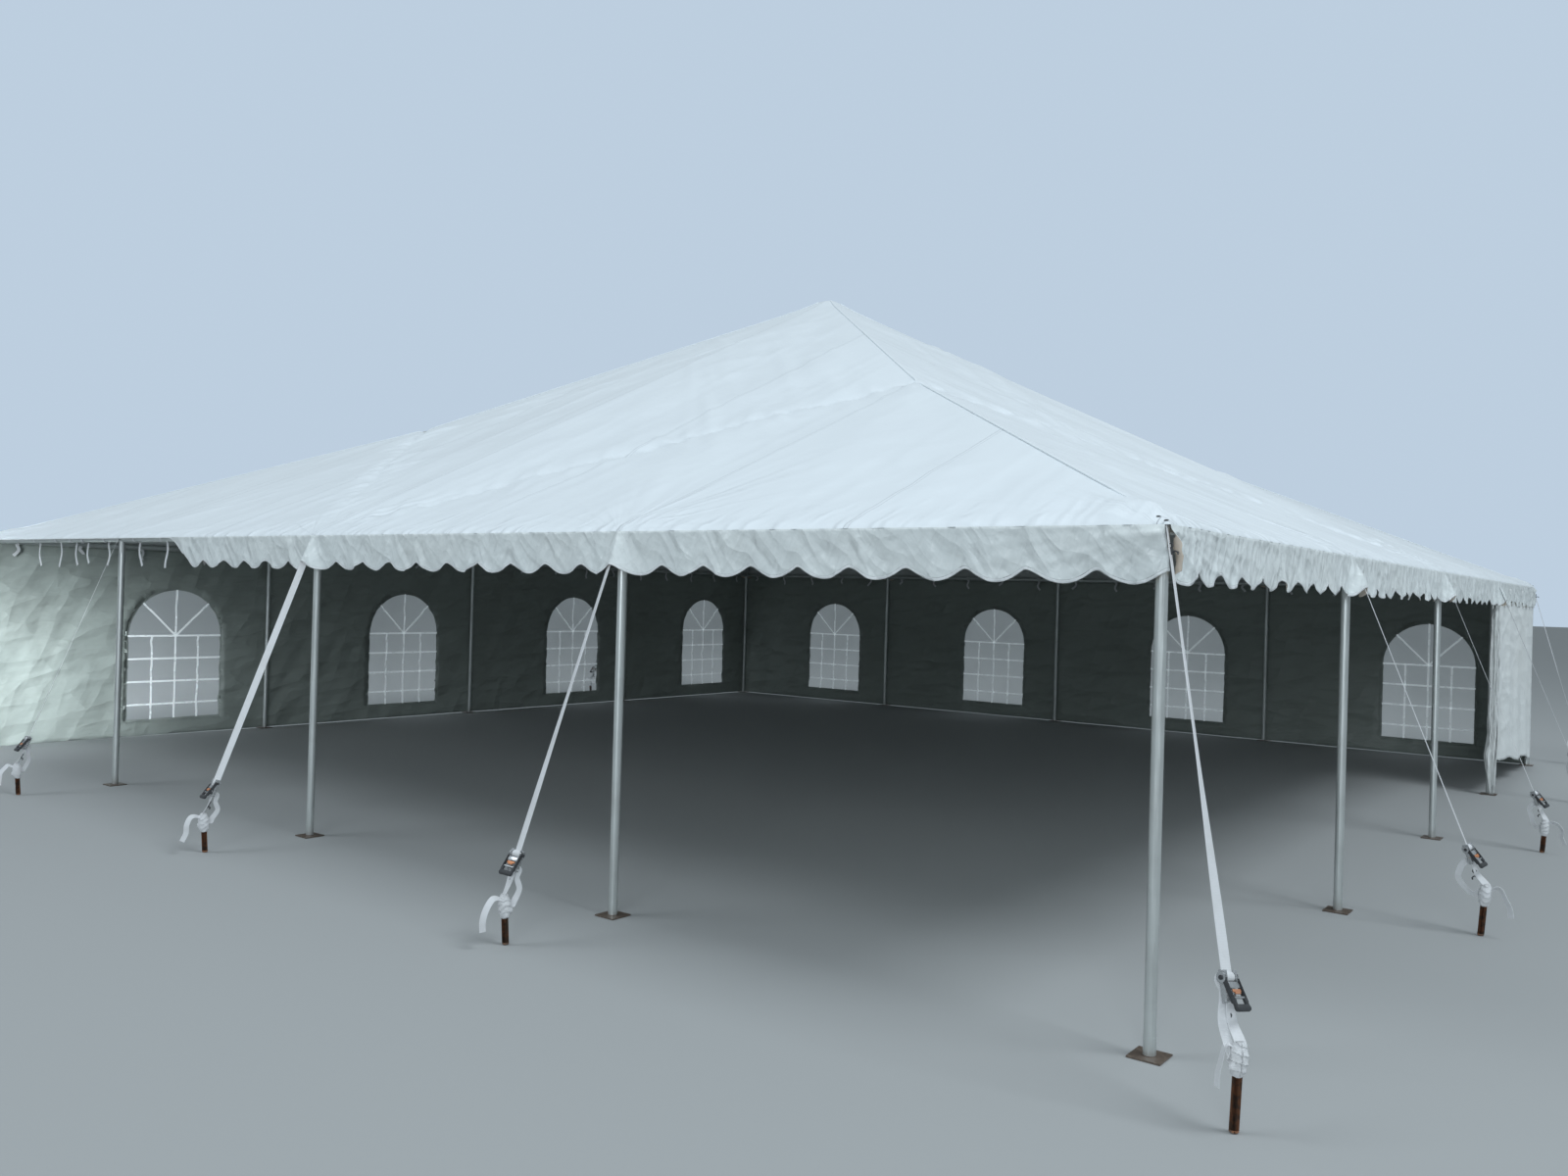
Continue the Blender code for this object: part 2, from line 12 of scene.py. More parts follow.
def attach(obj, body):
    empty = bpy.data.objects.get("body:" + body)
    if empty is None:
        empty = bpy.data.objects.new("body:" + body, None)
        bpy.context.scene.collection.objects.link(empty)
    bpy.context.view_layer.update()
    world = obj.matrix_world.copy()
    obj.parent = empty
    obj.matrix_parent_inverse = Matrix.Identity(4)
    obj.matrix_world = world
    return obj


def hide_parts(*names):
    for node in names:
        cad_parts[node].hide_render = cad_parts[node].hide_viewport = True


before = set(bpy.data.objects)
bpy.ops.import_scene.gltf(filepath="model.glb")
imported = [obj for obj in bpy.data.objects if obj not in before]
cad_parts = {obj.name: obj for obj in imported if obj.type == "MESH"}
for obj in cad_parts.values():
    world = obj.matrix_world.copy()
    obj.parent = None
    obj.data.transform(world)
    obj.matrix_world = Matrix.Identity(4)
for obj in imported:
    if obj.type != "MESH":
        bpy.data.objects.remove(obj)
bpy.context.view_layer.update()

Array = np.ndarray
Piece = bpy.types.Object
Material = bpy.types.Material
Socket = bpy.types.NodeSocket
Shell = tuple[np.ndarray, list, np.ndarray]  # points, faces and map places of a mesh
Shade = tuple[float, float, float]
Limits = tuple[float, float]

LOG = logging.getLogger("frame_tent")
ROOT_BODY = "root"
UP = np.array([0.0, 0.0, 1.0])
HANDS = (-1, 1)


class Side(Enum):
    """A side of the tent. The value is its number of quarter turns from the front."""

    FRONT = 0
    RIGHT = 1
    BACK = 2
    LEFT = 3

    @property
    def turn(self) -> float:
        """Angle about +Z that brings the front side here."""
        return self.value * math.pi / 2

    @property
    def title(self) -> str:
        """Name as the CAD nodes write it."""
        return self.name.lower()

    @property
    def corner(self) -> str:
        """Name of the corner at this side's left end."""
        return ("front_left", "front_right", "back_right", "back_left")[self.value]


class Slot(Enum):
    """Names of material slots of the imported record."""

    STEEL = "galvanised_steel"
    CANOPY = "canopy_vinyl"
    SIDEWALL = "sidewall_vinyl"
    FILM = "window_film"
    WEBBING = "webbing"


class Hold(Enum):
    """Ways in which a sheet is held."""

    HUNG = "hung"
    STRETCHED = "stretched"


@dataclass(frozen=True)
class TentPlan:
    """Sizes of the frame that all sub-assemblies share, in metres, at the tubes' centre lines."""

    bay: float = 3.048
    bays: int = 4
    rail_height: float = 2.12
    knee_height: float = 3.4
    crown_height: float = 5.03
    tube_radius: float = 0.0255
    fitting_radius: float = 0.0305
    cover_rise: float = 0.0342
    fabric: float = 0.003
    eave_offset: float = 0.0385
    eave_roll: float = 0.012
    wall_centre: float = 0.0283
    wall_edge: float = 0.026
    wall_top: float = 2.07

    @property
    def half(self) -> float:
        """Half of the side, from the middle of the plan to the leg line."""
        return self.bay * self.bays / 2

    @property
    def knee_place(self) -> float:
        """Plan distance of the hips' bends from the middle."""
        return self.half - self.bay

    @property
    def main_slope(self) -> float:
        """Fall of the roof along a main rafter."""
        return (self.crown_height - self.rail_height) / self.half

    @property
    def cross_slope(self) -> float:
        """Fall of the roof across, from a main rafter towards a knee."""
        return (self.crown_height - self.main_slope * self.knee_place - self.knee_height) / self.knee_place

    @property
    def eave_slope(self) -> float:
        """Fall of the roof from a knee to the eave."""
        return (self.knee_height - self.rail_height) / self.bay

    @property
    def eave_top(self) -> float:
        """Height of the valance's upper edge."""
        return (self.rail_height + self.cover_rise + self.fabric
                - self.eave_slope * self.eave_offset - self.eave_roll)

    def post_line(self, index: int) -> float:
        """Place along a side of its leg of that number, counted from the left corner."""
        return -self.half + index * self.bay

    def from_post(self, along: Array) -> Array:
        """Distance of places along a side from the nearest leg."""
        return np.abs((along + self.half + self.bay / 2) % self.bay - self.bay / 2)

    def posts(self) -> list[tuple[str, Side, int]]:
        """All sixteen posts.

        Returns:
            Name, side and number along the side of each.
        """
        found = []
        for side in Side:
            found.append((side.corner, side, 0))
            found += [(f"{side.title}_{index}", side, index) for index in range(1, self.bays)]
        return found


def smoothstep(share: Array) -> Array:
    """Soft step from 0 to 1 over a share of 0 to 1."""
    share = np.clip(share, 0.0, 1.0)
    return share * share * (3.0 - 2.0 * share)


def bell(*shares: Array) -> Array:
    """Hump of height 1 at places given in its half widths."""
    return np.exp(-sum(share ** 2 for share in shares))


def draws(rng: np.random.Generator, *limits: Limits) -> list[float]:
    """One even draw between each pair of limits, in order."""
    return [rng.uniform(low, high) for low, high in limits]


def stacked(*parts: Array) -> Array:
    """Rows of points or map places from their coordinates."""
    return np.stack(np.broadcast_arrays(*parts), axis=-1).reshape(-1, len(parts))


def folded(x: Array, y: Array) -> tuple[Array, Array]:
    """Larger and smaller distance of plan places from the two middle lines."""
    return np.maximum(np.abs(x), np.abs(y)), np.minimum(np.abs(x), np.abs(y))


def turned(points: Array, angle: float) -> Array:
    """Turn points about +Z.

    Args:
        points: Array whose last axis is x, y, z.
        angle: Angle in radians.

    Returns:
        The turned points.
    """
    c, s = round(math.cos(angle), 12), round(math.sin(angle), 12)
    return points @ np.array([[c, s, 0.0], [-s, c, 0.0], [0.0, 0.0, 1.0]])


def on_side(side: Side, x: float, y: float) -> Array:
    """Point or direction in plan, given as on the front side."""
    return turned(np.array([x, y, 0.0]), side.turn)


def crumple(u: Array, v: Array, seed: int, octaves: int = 3) -> Array:
    """Height of crumpled cloth, from -1 to 1, with its ridges sharper than its hollows.

    Args:
        u: Places along, one unit a crumple.
        v: Places across, one unit a crumple.
        seed: Number that the pattern comes from.
        octaves: How many sizes of crumple lie on each other.

    Returns:
        Heights.
    """
    table = np.random.default_rng(seed).uniform(-1, 1, (64, 64))
    total, size, part = 0.0, 1.0, 1.0
    for _ in range(octaves):
        a, b = u * size + 0.6 * v * size, v * size - 0.4 * u * size
        i, j = np.floor(a).astype(int), np.floor(b).astype(int)
        f, g = smoothstep(a - i), smoothstep(b - j)
        near, far = (table[i & 63, k & 63] * (1 - f) + table[(i + 1) & 63, k & 63] * f for k in (j, j + 1))
        total = total + part * (1 - 3 * np.abs(near * (1 - g) + far * g))
        size, part = size * 2.07, part * 0.55
    return total / 1.6


def deselect() -> None:
    """Leave edit mode and deselect everything."""
    if bpy.context.object and bpy.context.object.mode != "OBJECT":
        bpy.ops.object.mode_set(mode="OBJECT")
    bpy.ops.object.select_all(action="DESELECT")


def select_only(piece: Piece) -> None:
    """Make one object the only selected one, and active.

    Args:
        piece: The object.
    """
    deselect()
    piece.select_set(True)
    bpy.context.view_layer.objects.active = piece


def linked(name: str, data: bpy.types.ID) -> Piece:
    """Put a new object in the scene.

    Args:
        name: Its name.
        data: Its mesh, lamp or camera.

    Returns:
        The object.
    """
    piece = bpy.data.objects.new(name, data)
    bpy.context.scene.collection.objects.link(piece)
    return piece


def add_mesh(name: str, verts: Array, faces: Sequence, uv: Array) -> Piece:
    """Make a smooth mesh object at the origin.

    Args:
        name: Name of the piece.
        verts: Points, one row each.
        faces: Corner numbers of each face.
        uv: Place on the cloth's own map in metres, of each point or of each face's corners in turn.

    Returns:
        The new object.
    """
    mesh = bpy.data.meshes.new(name)
    mesh.from_pydata(np.asarray(verts, float).reshape(-1, 3).tolist(), [], [list(map(int, f)) for f in faces])
    layer = mesh.uv_layers.new(name="cloth")
    uv = np.asarray(uv, np.float32).reshape(-1, 2)
    if len(uv) != len(mesh.loops):
        corners = np.zeros(len(mesh.loops), np.int32)
        mesh.loops.foreach_get("vertex_index", corners)
        uv = uv[corners]
    layer.data.foreach_set("uv", uv.ravel())
    mesh.shade_smooth()
    mesh.update()
    return linked(name, mesh)


def in_edit_mode(piece: Piece, work: Callable[[], object], chosen: Iterable[int] | None = None) -> None:
    """Work on a mesh in edit mode.

    Args:
        piece: The piece.
        work: What is done to its mesh.
        chosen: Numbers of the faces that are selected, or None for the whole mesh.
    """
    select_only(piece)
    if chosen is not None:
        chosen = set(chosen)
        for face in piece.data.polygons:
            face.select = face.index in chosen
    bpy.ops.object.mode_set(mode="EDIT")
    if chosen is None:
        bpy.ops.mesh.select_all(action="SELECT")
    else:
        bpy.ops.mesh.select_mode(type="FACE")
    work()
    bpy.ops.object.mode_set(mode="OBJECT")


def rounded(piece: Piece, width: float, segments: int = 1) -> Piece:
    """Bevel all edges of a piece."""
    in_edit_mode(piece, lambda: bpy.ops.mesh.bevel(offset=width, offset_pct=0, segments=segments, affect="EDGES"))
    return piece


def apply_place() -> None:
    """Apply place, turn and scale of what is selected."""
    bpy.ops.object.transform_apply(location=True, rotation=True, scale=True)


def crease_over(piece: Piece, degrees: float) -> None:
    """Shade smooth up to an angle."""
    select_only(piece)
    bpy.ops.object.shade_smooth_by_angle(angle=math.radians(degrees))


def joined(pieces: Sequence[Piece], name: str) -> Piece:
    """Join objects into one at the origin.

    Args:
        pieces: The objects.
        name: Name of the result.

    Returns:
        The joined object.
    """
    deselect()
    for piece in pieces:
        piece.select_set(True)
    bpy.context.view_layer.objects.active = pieces[0]
    apply_place()
    if len(pieces) > 1:
        bpy.ops.object.join()
    piece = bpy.context.object
    piece.name = piece.data.name = name
    return piece


def grid_faces(rows: int, columns: int, keep: Array | None = None) -> Array:
    """Faces of a grid of points, counted row by row.

    Args:
        rows: Rows of points.
        columns: Points in a row.
        keep: Mask of the cells that are there.

    Returns:
        Four corner numbers a cell.
    """
    number = np.arange(rows * columns).reshape(rows, columns)
    cells = np.stack([number[:-1, :-1], number[:-1, 1:], number[1:, 1:], number[1:, :-1]], axis=-1)
    return cells.reshape(-1, 4) if keep is None else cells[keep]


def ring_faces(rows: int, around: int) -> tuple[Array, Array, list]:
    """Side faces of a tube whose points are counted ring by ring.

    Args:
        rows: Rings of points.
        around: Points in a ring.

    Returns:
        Number of each point, number of the next one in its ring, and the faces.
    """
    number = np.arange(rows * around).reshape(rows, around)
    ahead = np.roll(number, -1, axis=1)
    sides = np.stack([number[:-1], ahead[:-1], ahead[1:], number[1:]], axis=-1)
    return number, ahead, sides.reshape(-1, 4).tolist()


def ribbon(path: Array, across: Array, width: float | Array, thickness: float) -> Shell:
    """Closed flat band along a path.

    Args:
        path: Points of its middle line.
        across: Direction of its width, at each point or at all of them.
        width: Width of the band, or its width at each point.
        thickness: Thickness of the band.

    Returns:
        The mesh.
    """
    path = np.asarray(path, float)
    across = np.broadcast_to(np.asarray(across, float), path.shape)
    along = np.gradient(path, axis=0)
    along /= np.linalg.norm(along, axis=1, keepdims=True)
    across = across - (across * along).sum(1, keepdims=True) * along
    across /= np.linalg.norm(across, axis=1, keepdims=True)
    face = np.cross(along, across)
    corners = [(-1, -1), (-1, 1), (1, 1), (1, -1)]
    count = len(path)
    half = np.broadcast_to(np.asarray(width, float) / 2, count)[:, None]
    ring = np.stack([path + across * a * half + face * f * thickness / 2 for a, f in corners], axis=1)
    number = np.arange(count * 4).reshape(count, 4)
    faces = [np.stack([number[:-1, k], number[:-1, n], number[1:, n], number[1:, k]], axis=-1)
             for k, n in zip((0, 1, 2, 3), (1, 2, 3, 0))]
    run = np.concatenate([[0.0], np.cumsum(np.linalg.norm(np.diff(path, axis=0), axis=1))])
    uv = np.stack([half * [a for a, _ in corners], np.repeat(run[:, None], 4, axis=1)], axis=-1)
    return ring.reshape(-1, 3), np.concatenate(faces + [number[:1, ::-1], number[-1:]]), uv.reshape(-1, 2)


def merged(parts: Iterable[Shell]) -> Shell:
    """Put several meshes together.

    Args:
        parts: The meshes.

    Returns:
        The whole mesh.
    """
    verts, faces, uvs, start = [], [], [], 0
    for points, corners, uv in parts:
        verts.append(points)
        uvs.append(uv)
        faces += [[int(corner) + start for corner in face] for face in corners]
        start += len(points)
    return np.concatenate(verts), faces, np.concatenate(uvs)


def curve_through(controls: Sequence[Sequence[float]], count: int) -> Array:
    """Smooth line through some points.

    Args:
        controls: Points to pass through.
        count: Number of points in the line.

    Returns:
        The points of a Catmull-Rom line.
    """
    p = np.asarray(controls, float)
    p = np.concatenate([[2 * p[0] - p[1]], p, [2 * p[-1] - p[-2]]])
    place = np.linspace(0, len(p) - 3 - 1e-9, count)
    k = place.astype(int)
    t = (place - k)[:, None]
    a, b, c, d = p[k], p[k + 1], p[k + 2], p[k + 3]
    return 0.5 * (2 * b + (c - a) * t + (2 * a - 5 * b + 4 * c - d) * t ** 2 + (3 * b - a - 3 * c + d) * t ** 3)


def placed(piece: Piece, material: Material, stands_for: Sequence[str] = ()) -> Piece:
    """Give a piece its finish, and let it ride on the tent.

    Args:
        piece: The finished piece.
        material: Its finish.
        stands_for: CAD nodes that it replaces.

    Returns:
        The piece.
    """
    piece.data.materials.clear()
    piece.data.materials.append(material)
    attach(piece, ROOT_BODY)
    if stands_for:
        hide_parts(*stands_for)
    LOG.info("%s: %d faces", piece.name, len(piece.data.polygons))
    return piece


def backed(piece: Piece, thickness: float, inner: Material) -> Piece:
    """Give a sheet its thickness, with another finish on its inner side.

    Args:
        piece: The sheet, with its outer finish.
        thickness: Thickness of the cloth.
        inner: Finish of the inner side.

    Returns:
        The sheet.
    """
    piece.data.materials.append(inner)
    select_only(piece)
    solid = piece.modifiers.new("Cloth thickness", "SOLIDIFY")
    solid.thickness = thickness
    solid.offset = 0.0
    solid.material_offset = 1
    bpy.ops.object.modifier_apply(modifier=solid.name)
    return piece


class Nodes:
    """Adds nodes to one shader tree and links them. A value is a socket or what a socket can hold."""

    def __init__(self, tree: bpy.types.NodeTree) -> None:
        """Work on a tree."""
        self.tree = tree

    def fill(self, node: bpy.types.Node, values: dict[str | int, object]) -> bpy.types.Node:
        """Feed the inputs of a node.

        Args:
            node: The node.
            values: Value of each input, by name or number. A colour is three numbers.

        Returns:
            The node.
        """
        for key, value in values.items():
            socket = node.inputs[key]
            if isinstance(value, bpy.types.NodeSocket):
                self.tree.links.new(value, socket)
            else:
                socket.default_value = (*value, 1.0) if socket.type == "RGBA" else value
        return node

    def add(self, kind: str, values: dict[str | int, object] | None = None, **options: object) -> bpy.types.Node:
        """Add a node.

        Args:
            kind: Its type, without the start that all shader nodes share.
            values: Value of each input.
            options: Its settings.

        Returns:
            The node.
        """
        node = self.tree.nodes.new("ShaderNode" + kind)
        for name, option in options.items():
            setattr(node, name, option)
        return self.fill(node, values or {})

    def place(self, own_map: bool = False) -> Socket:
        """Object coordinates, or the piece's own map."""
        return self.add("TexCoord").outputs["UV" if own_map else "Object"]

    def own_place(self) -> tuple[Socket, Socket]:
        """The two places on the piece's own map."""
        parts = self.add("SeparateXYZ", {0: self.place(own_map=True)}).outputs
        return parts["X"], parts["Y"]

    def maths(self, operation: str, *values: object) -> Socket:
        """One sum on some values."""
        return self.add("Math", dict(enumerate(values)), operation=operation).outputs[0]

    def product(self, first: object, second: object) -> Socket:
        """One value times another."""
        return self.maths("MULTIPLY", first, second)

    def spread(self, source: Socket, given: Limits = (0.0, 1.0), wanted: Limits = (0.0, 1.0)) -> Socket:
        """Map one range of values to another."""
        ends = dict(zip(("From Min", "From Max", "To Min", "To Max"), given + wanted))
        return self.add("MapRange", {"Value": source, **ends}).outputs["Result"]

    def mixed(self, share: Socket, first: object, second: object) -> Socket:
        """Mix two colours."""
        return self.add("Mix", {"Factor": share, 6: first, 7: second}, data_type="RGBA").outputs[2]

    def noise(self, source: Socket, scale: object, detail: float, kind: str = "FBM") -> bpy.types.Node:
        """Noise at some places."""
        return self.add("TexNoise", {"Vector": source, "Scale": scale, "Detail": detail}, noise_type=kind)

    def bumped(self, height: Socket, distance: float, under: Socket | None = None) -> Socket:
        """Turn a height into a normal, over another one where that is given."""
        below = {} if under is None else {"Normal": under}
        return self.add("Bump", {"Height": height, "Distance": distance, "Strength": 1.0, **below}).outputs["Normal"]

    def pattern(self, pattern: "Pattern", source: Socket, scale: float) -> bpy.types.bpy_prop_collection:
        """Place a shared group and give its outputs."""
        return self.add("Group", {"Vector": source, "Scale": scale}, node_tree=pattern.group()).outputs


class Pattern:
    """A shader group that several finishes share, built when it is first used."""

    title = "Pattern"

    def outputs(self, nodes: Nodes, vector: Socket, scale: Socket) -> dict[str, Socket]:
        """Values that come out of the group."""
        raise NotImplementedError

    def group(self) -> bpy.types.NodeTree:
        """Find the group, or build it.

        Returns:
            The group, with a vector and a scale going in.
        """
        tree = bpy.data.node_groups.get(self.title)
        if tree is None:
            tree = bpy.data.node_groups.new(self.title, "ShaderNodeTree")
            for name, kind in (("Vector", "NodeSocketVector"), ("Scale", "NodeSocketFloat")):
                tree.interface.new_socket(name, in_out="INPUT", socket_type=kind)
            nodes = Nodes(tree)
            given = tree.nodes.new("NodeGroupInput").outputs
            values = self.outputs(nodes, given["Vector"], given["Scale"])
            for name in values:
                tree.interface.new_socket(name, in_out="OUTPUT", socket_type="NodeSocketFloat")
            nodes.fill(tree.nodes.new("NodeGroupOutput"), values)
        return tree


class Creases(Pattern):
    """Creases of vinyl that was folded in a bag, as a height."""

    title = "Vinyl creases"

    def outputs(self, nodes: Nodes, vector: Socket, scale: Socket) -> dict[str, Socket]:
        """Sharp folds in some places, over a fine grain.

        Args:
            nodes: The group's nodes.
            vector: Places that go in.
            scale: Scale that goes in.

        Returns:
            Height of the creases.
        """
        ridge = nodes.noise(vector, nodes.product(scale, 1.0), 3.0, "RIDGED_MULTIFRACTAL").outputs[0]
        fine = nodes.noise(vector, nodes.product(scale, 7.0), 4.0).outputs[0]
        where = nodes.noise(vector, nodes.product(scale, 0.4), 2.0).outputs[0]
        folds = nodes.product(ridge, nodes.spread(where, (0.42, 0.62)))
        return {"Height": nodes.maths("MULTIPLY_ADD", fine, 0.09, folds)}


class Soiling(Pattern):
    """Blotches and specks of dirt, as two masks."""

    title = "Soiling"

    def outputs(self, nodes: Nodes, vector: Socket, scale: Socket) -> dict[str, Socket]:
        """Noise of two sizes, each cut to its highest parts."""
        kinds = (("Blotches", 1.0, 6.0, (0.45, 0.75)), ("Specks", 18.0, 3.0, (0.64, 0.74)))
        return {name: nodes.spread(nodes.noise(vector, nodes.product(scale, times), detail).outputs[0], part)
                for name, times, detail, part in kinds}


class Weave(Pattern):
    """Warp and weft of a woven band, as a height, from places in metres on its map."""

    title = "Band weave"

    def outputs(self, nodes: Nodes, vector: Socket, scale: Socket) -> dict[str, Socket]:
        """Waves across and along the band."""
        waves = [nodes.add("TexWave", {"Vector": vector, "Scale": nodes.product(scale, threads), "Distortion": 0.4},
                           bands_direction=way).outputs["Fac"] for way, threads in (("X", 95.0), ("Y", 60.0))]
        return {"Height": nodes.maths("ADD", *waves)}


@dataclass(frozen=True)
class Finish:
    """A finish of one of the tent's materials. Each kind of finish adds its own nodes to the plain shader."""

    name: str
    colour: Shade
    roughness: float
    metallic: float = 0.0

    def make(self) -> Material:
        """Build the material.

        Returns:
            The material.
        """
        material = bpy.data.materials.new(self.name)
        material.use_nodes = True
        nodes = Nodes(material.node_tree)
        shader = nodes.tree.nodes["Principled BSDF"]
        nodes.fill(shader, {"Metallic": self.metallic, **self.values(nodes)})
        return material

    def values(self, nodes: Nodes) -> dict[str, object]:
        """What goes into the shader's inputs."""
        raise NotImplementedError

    def tinted(self, factor: float) -> Shade:
        """The finish's own colour, darker or lighter."""
        return tuple(part * factor for part in self.colour)


@dataclass(frozen=True)
class VinylFinish(Finish):
    """Coated polyester: satin, creased, a little soiled, with welded laps where it has them, and where given a painted
    shade on its back side and a painted glow.

    The folds are pitch, lean and depth of each kind of fold on the piece's own map.
    """

    soil: Shade = (0.52, 0.5, 0.44)
    soil_share: float = 0.18
    crease_scale: float = 2.2
    crease_depth: float = 0.006
    lap_pitch: float = 0.0
    lap_width: float = 0.026
    lap_height: float = 0.0025
    seam_share: float = 0.45
    seam_shade: float = 0.55
    hem_share: float = 0.6
    hem_width: float = 0.0
    hem_colour: Shade = (0.92, 0.94, 0.95)
    # Painted shade: where given, back-facing sides take this darker colour in place of shade under the sheet.
    back: Shade | None = None
    translucence: float = 0.0
    # Painted light: emission that makes a piece glow though it is no lamp.
    glow: float = 0.0
    glow_colour: Shade = (0.66, 0.76, 0.82)
    folds: tuple[tuple[float, float, float], ...] = ()
    fold_stretch: float = 3.2

    def values(self, nodes: Nodes) -> dict[str, object]:
        """Add soiling, creases, laps, hem and folds, and the painted shade of the back colour and the painted glow
        where they are given.

        Args:
            nodes: The material's nodes.

        Returns:
            What goes into the shader's inputs.
        """
        place = nodes.place()
        soiling = nodes.pattern(Soiling(), place, 1.3)
        creases = nodes.pattern(Creases(), place, self.crease_scale)
        share = nodes.spread(soiling["Blotches"], wanted=(0.0, self.soil_share))
        colour = nodes.mixed(share, self.colour, self.soil)
        specks = nodes.spread(soiling["Specks"], wanted=(0.0, self.soil_share * 0.6))
        colour = nodes.mixed(specks, colour, self.soil)
        normal = nodes.bumped(creases["Height"], self.crease_depth)
        if self.lap_pitch or self.hem_width:
            across, up = nodes.own_place()
            away, edge, soft, line = up, self.hem_width, 0.001, 0.0022
            if self.lap_pitch:
                away = nodes.maths("PINGPONG", across, self.lap_pitch / 2)
                edge, soft, line = self.lap_width / 2, 0.0015, 0.003
            lap = nodes.spread(away, (edge - soft, edge + soft), (1.0, 0.0))
            seam = nodes.spread(nodes.maths("COMPARE", away, edge, line), wanted=(0.0, self.seam_share))
            colour = nodes.mixed(seam, colour, self.tinted(self.seam_shade))
            if self.hem_width:
                colour = nodes.mixed(nodes.product(lap, self.hem_share), colour, self.hem_colour)
            normal = nodes.bumped(lap, self.lap_height, normal)
        for number, (pitch, lean, depth) in enumerate(self.folds):
            x, y = nodes.own_place()
            c, s, long = math.cos(lean), math.sin(lean), self.fold_stretch * pitch
            across = nodes.maths("ADD", nodes.product(x, c / pitch), nodes.product(y, s / pitch))
            along = nodes.maths("ADD", nodes.product(y, c / long), nodes.product(x, s / -long))
            normal = nodes.bumped(self.facets(nodes, across, along, 5.0 * number + 1.0), depth, normal)
        # Back-facing sides take the darker back colour: painted shade.
        if self.back is not None:
            colour = nodes.mixed(nodes.add("NewGeometry").outputs["Backfacing"], colour, self.back)
        rough = nodes.spread(soiling["Blotches"], wanted=(self.roughness - 0.05, self.roughness + 0.12))
        # The emission is painted light: a glow from pieces that are no lamp.
        return {"Base Color": colour, "Roughness": rough, "Normal": normal, "Sheen Weight": 0.08,
                "Subsurface Weight": self.translucence, "Subsurface Radius": (1.0, 1.0, 1.0),
                "Subsurface Scale": 0.004, "Emission Color": self.glow_colour, "Emission Strength": self.glow}

    @staticmethod
    def facets(nodes: Nodes, first: Socket, second: Socket, seed: float) -> Socket:
        """Flat facets with sharp folds between them, one unit across.

        Args:
            nodes: The material's nodes.
            first: Place across.
            second: Place along.
            seed: Number that the pattern comes from.

        Returns:
            Height of the facets.
        """
        place = nodes.add("CombineXYZ", {0: first, 1: second, 2: seed}).outputs[0]
        noise = nodes.noise(place, 0.9, 3.0).outputs["Color"]
        bent = nodes.add("VectorMath", {0: noise, 1: (0.9, 0.9, 0.9), 2: place}, operation="MULTIPLY_ADD")
        return nodes.add("TexVoronoi", {"Vector": bent.outputs[0], "Scale": 1.0}).outputs["Distance"]


@dataclass(frozen=True)
class RoofFinish(VinylFinish):
    """Vinyl of the roof sheet, with fine creases that fan from the legs and run down the slope."""

    post_pitch: float = 3.048
    eave: float = 6.096
    reach: float = 1.9
    fan_depth: float = 0.02
    streak_depth: float = 0.014

    def values(self, nodes: Nodes) -> dict[str, object]:
        """Add the fans and streaks over the common vinyl.

        Args:
            nodes: The material's nodes.

        Returns:
            What goes into the shader's inputs.
        """
        values = super().values(nodes)
        across, out = nodes.own_place()
        wrap = nodes.maths("WRAP", across, self.post_pitch / 2, -self.post_pitch / 2)
        inward = nodes.maths("SUBTRACT", self.eave + 0.05, out)
        angle = nodes.maths("ARCTAN2", wrap, inward)
        away = nodes.maths("SQRT", nodes.maths("ADD", nodes.product(wrap, wrap), nodes.product(inward, inward)))
        post = nodes.maths("ROUND", nodes.maths("DIVIDE", across, self.post_pitch))
        fan = self.ridges(nodes, (angle, 7.0), (away, 0.5), nodes.product(post, 3.7))
        fade = nodes.product(nodes.spread(away, (0.1, 0.35), (0.25, 1.0)),
                             nodes.spread(away, (0.35, self.reach), (1.0, 0.0)))
        streaks = self.ridges(nodes, (across, 4.5), (out, 0.45), 4.0)
        eave = self.ridges(nodes, (across, 13.0), (out, 4.0), 9.0)
        near_eave = nodes.spread(inward, (0.0, 0.45), (1.0, 0.0))
        normal = nodes.bumped(nodes.product(fan, fade), self.fan_depth, values["Normal"])
        normal = nodes.bumped(nodes.product(eave, near_eave), self.fan_depth, normal)
        return {**values, "Normal": nodes.bumped(streaks, self.streak_depth, normal)}

    @staticmethod
    def ridges(nodes: Nodes, first: tuple[Socket, float], second: tuple[Socket, float], third: object) -> Socket:
        """Ridged noise at stretched places.

        Args:
            nodes: The material's nodes.
            first: First place and how much it is stretched.
            second: Second place and how much it is stretched.
            third: Third place, or the number that the pattern comes from.

        Returns:
            Height of the ridges.
        """
        place = nodes.add("CombineXYZ", {0: nodes.product(*first), 1: nodes.product(*second), 2: third})
        return nodes.noise(place.outputs[0], 1.0, 2.0, "RIDGED_MULTIFRACTAL").outputs[0]


@dataclass(frozen=True)
class FilmFinish(Finish):
    """Clear flexible window film with a faint haze."""

    haze: float = 0.16
    dust: Shade = (0.7, 0.72, 0.68)

    def values(self, nodes: Nodes) -> dict[str, object]:
        """Add haze and ripples.

        Args:
            nodes: The material's nodes.

        Returns:
            What goes into the shader's inputs.
        """
        place = nodes.place()
        soiling = nodes.pattern(Soiling(), place, 2.0)
        creases = nodes.pattern(Creases(), place, 1.2)
        return {"Alpha": nodes.spread(soiling["Blotches"], wanted=(self.haze, self.haze + 0.12)),
                "Base Color": nodes.mixed(soiling["Specks"], self.colour, self.dust),
                "Roughness": nodes.spread(soiling["Blotches"], wanted=(self.roughness, self.roughness + 0.15)),
                "Normal": nodes.bumped(creases["Height"], 0.002)}


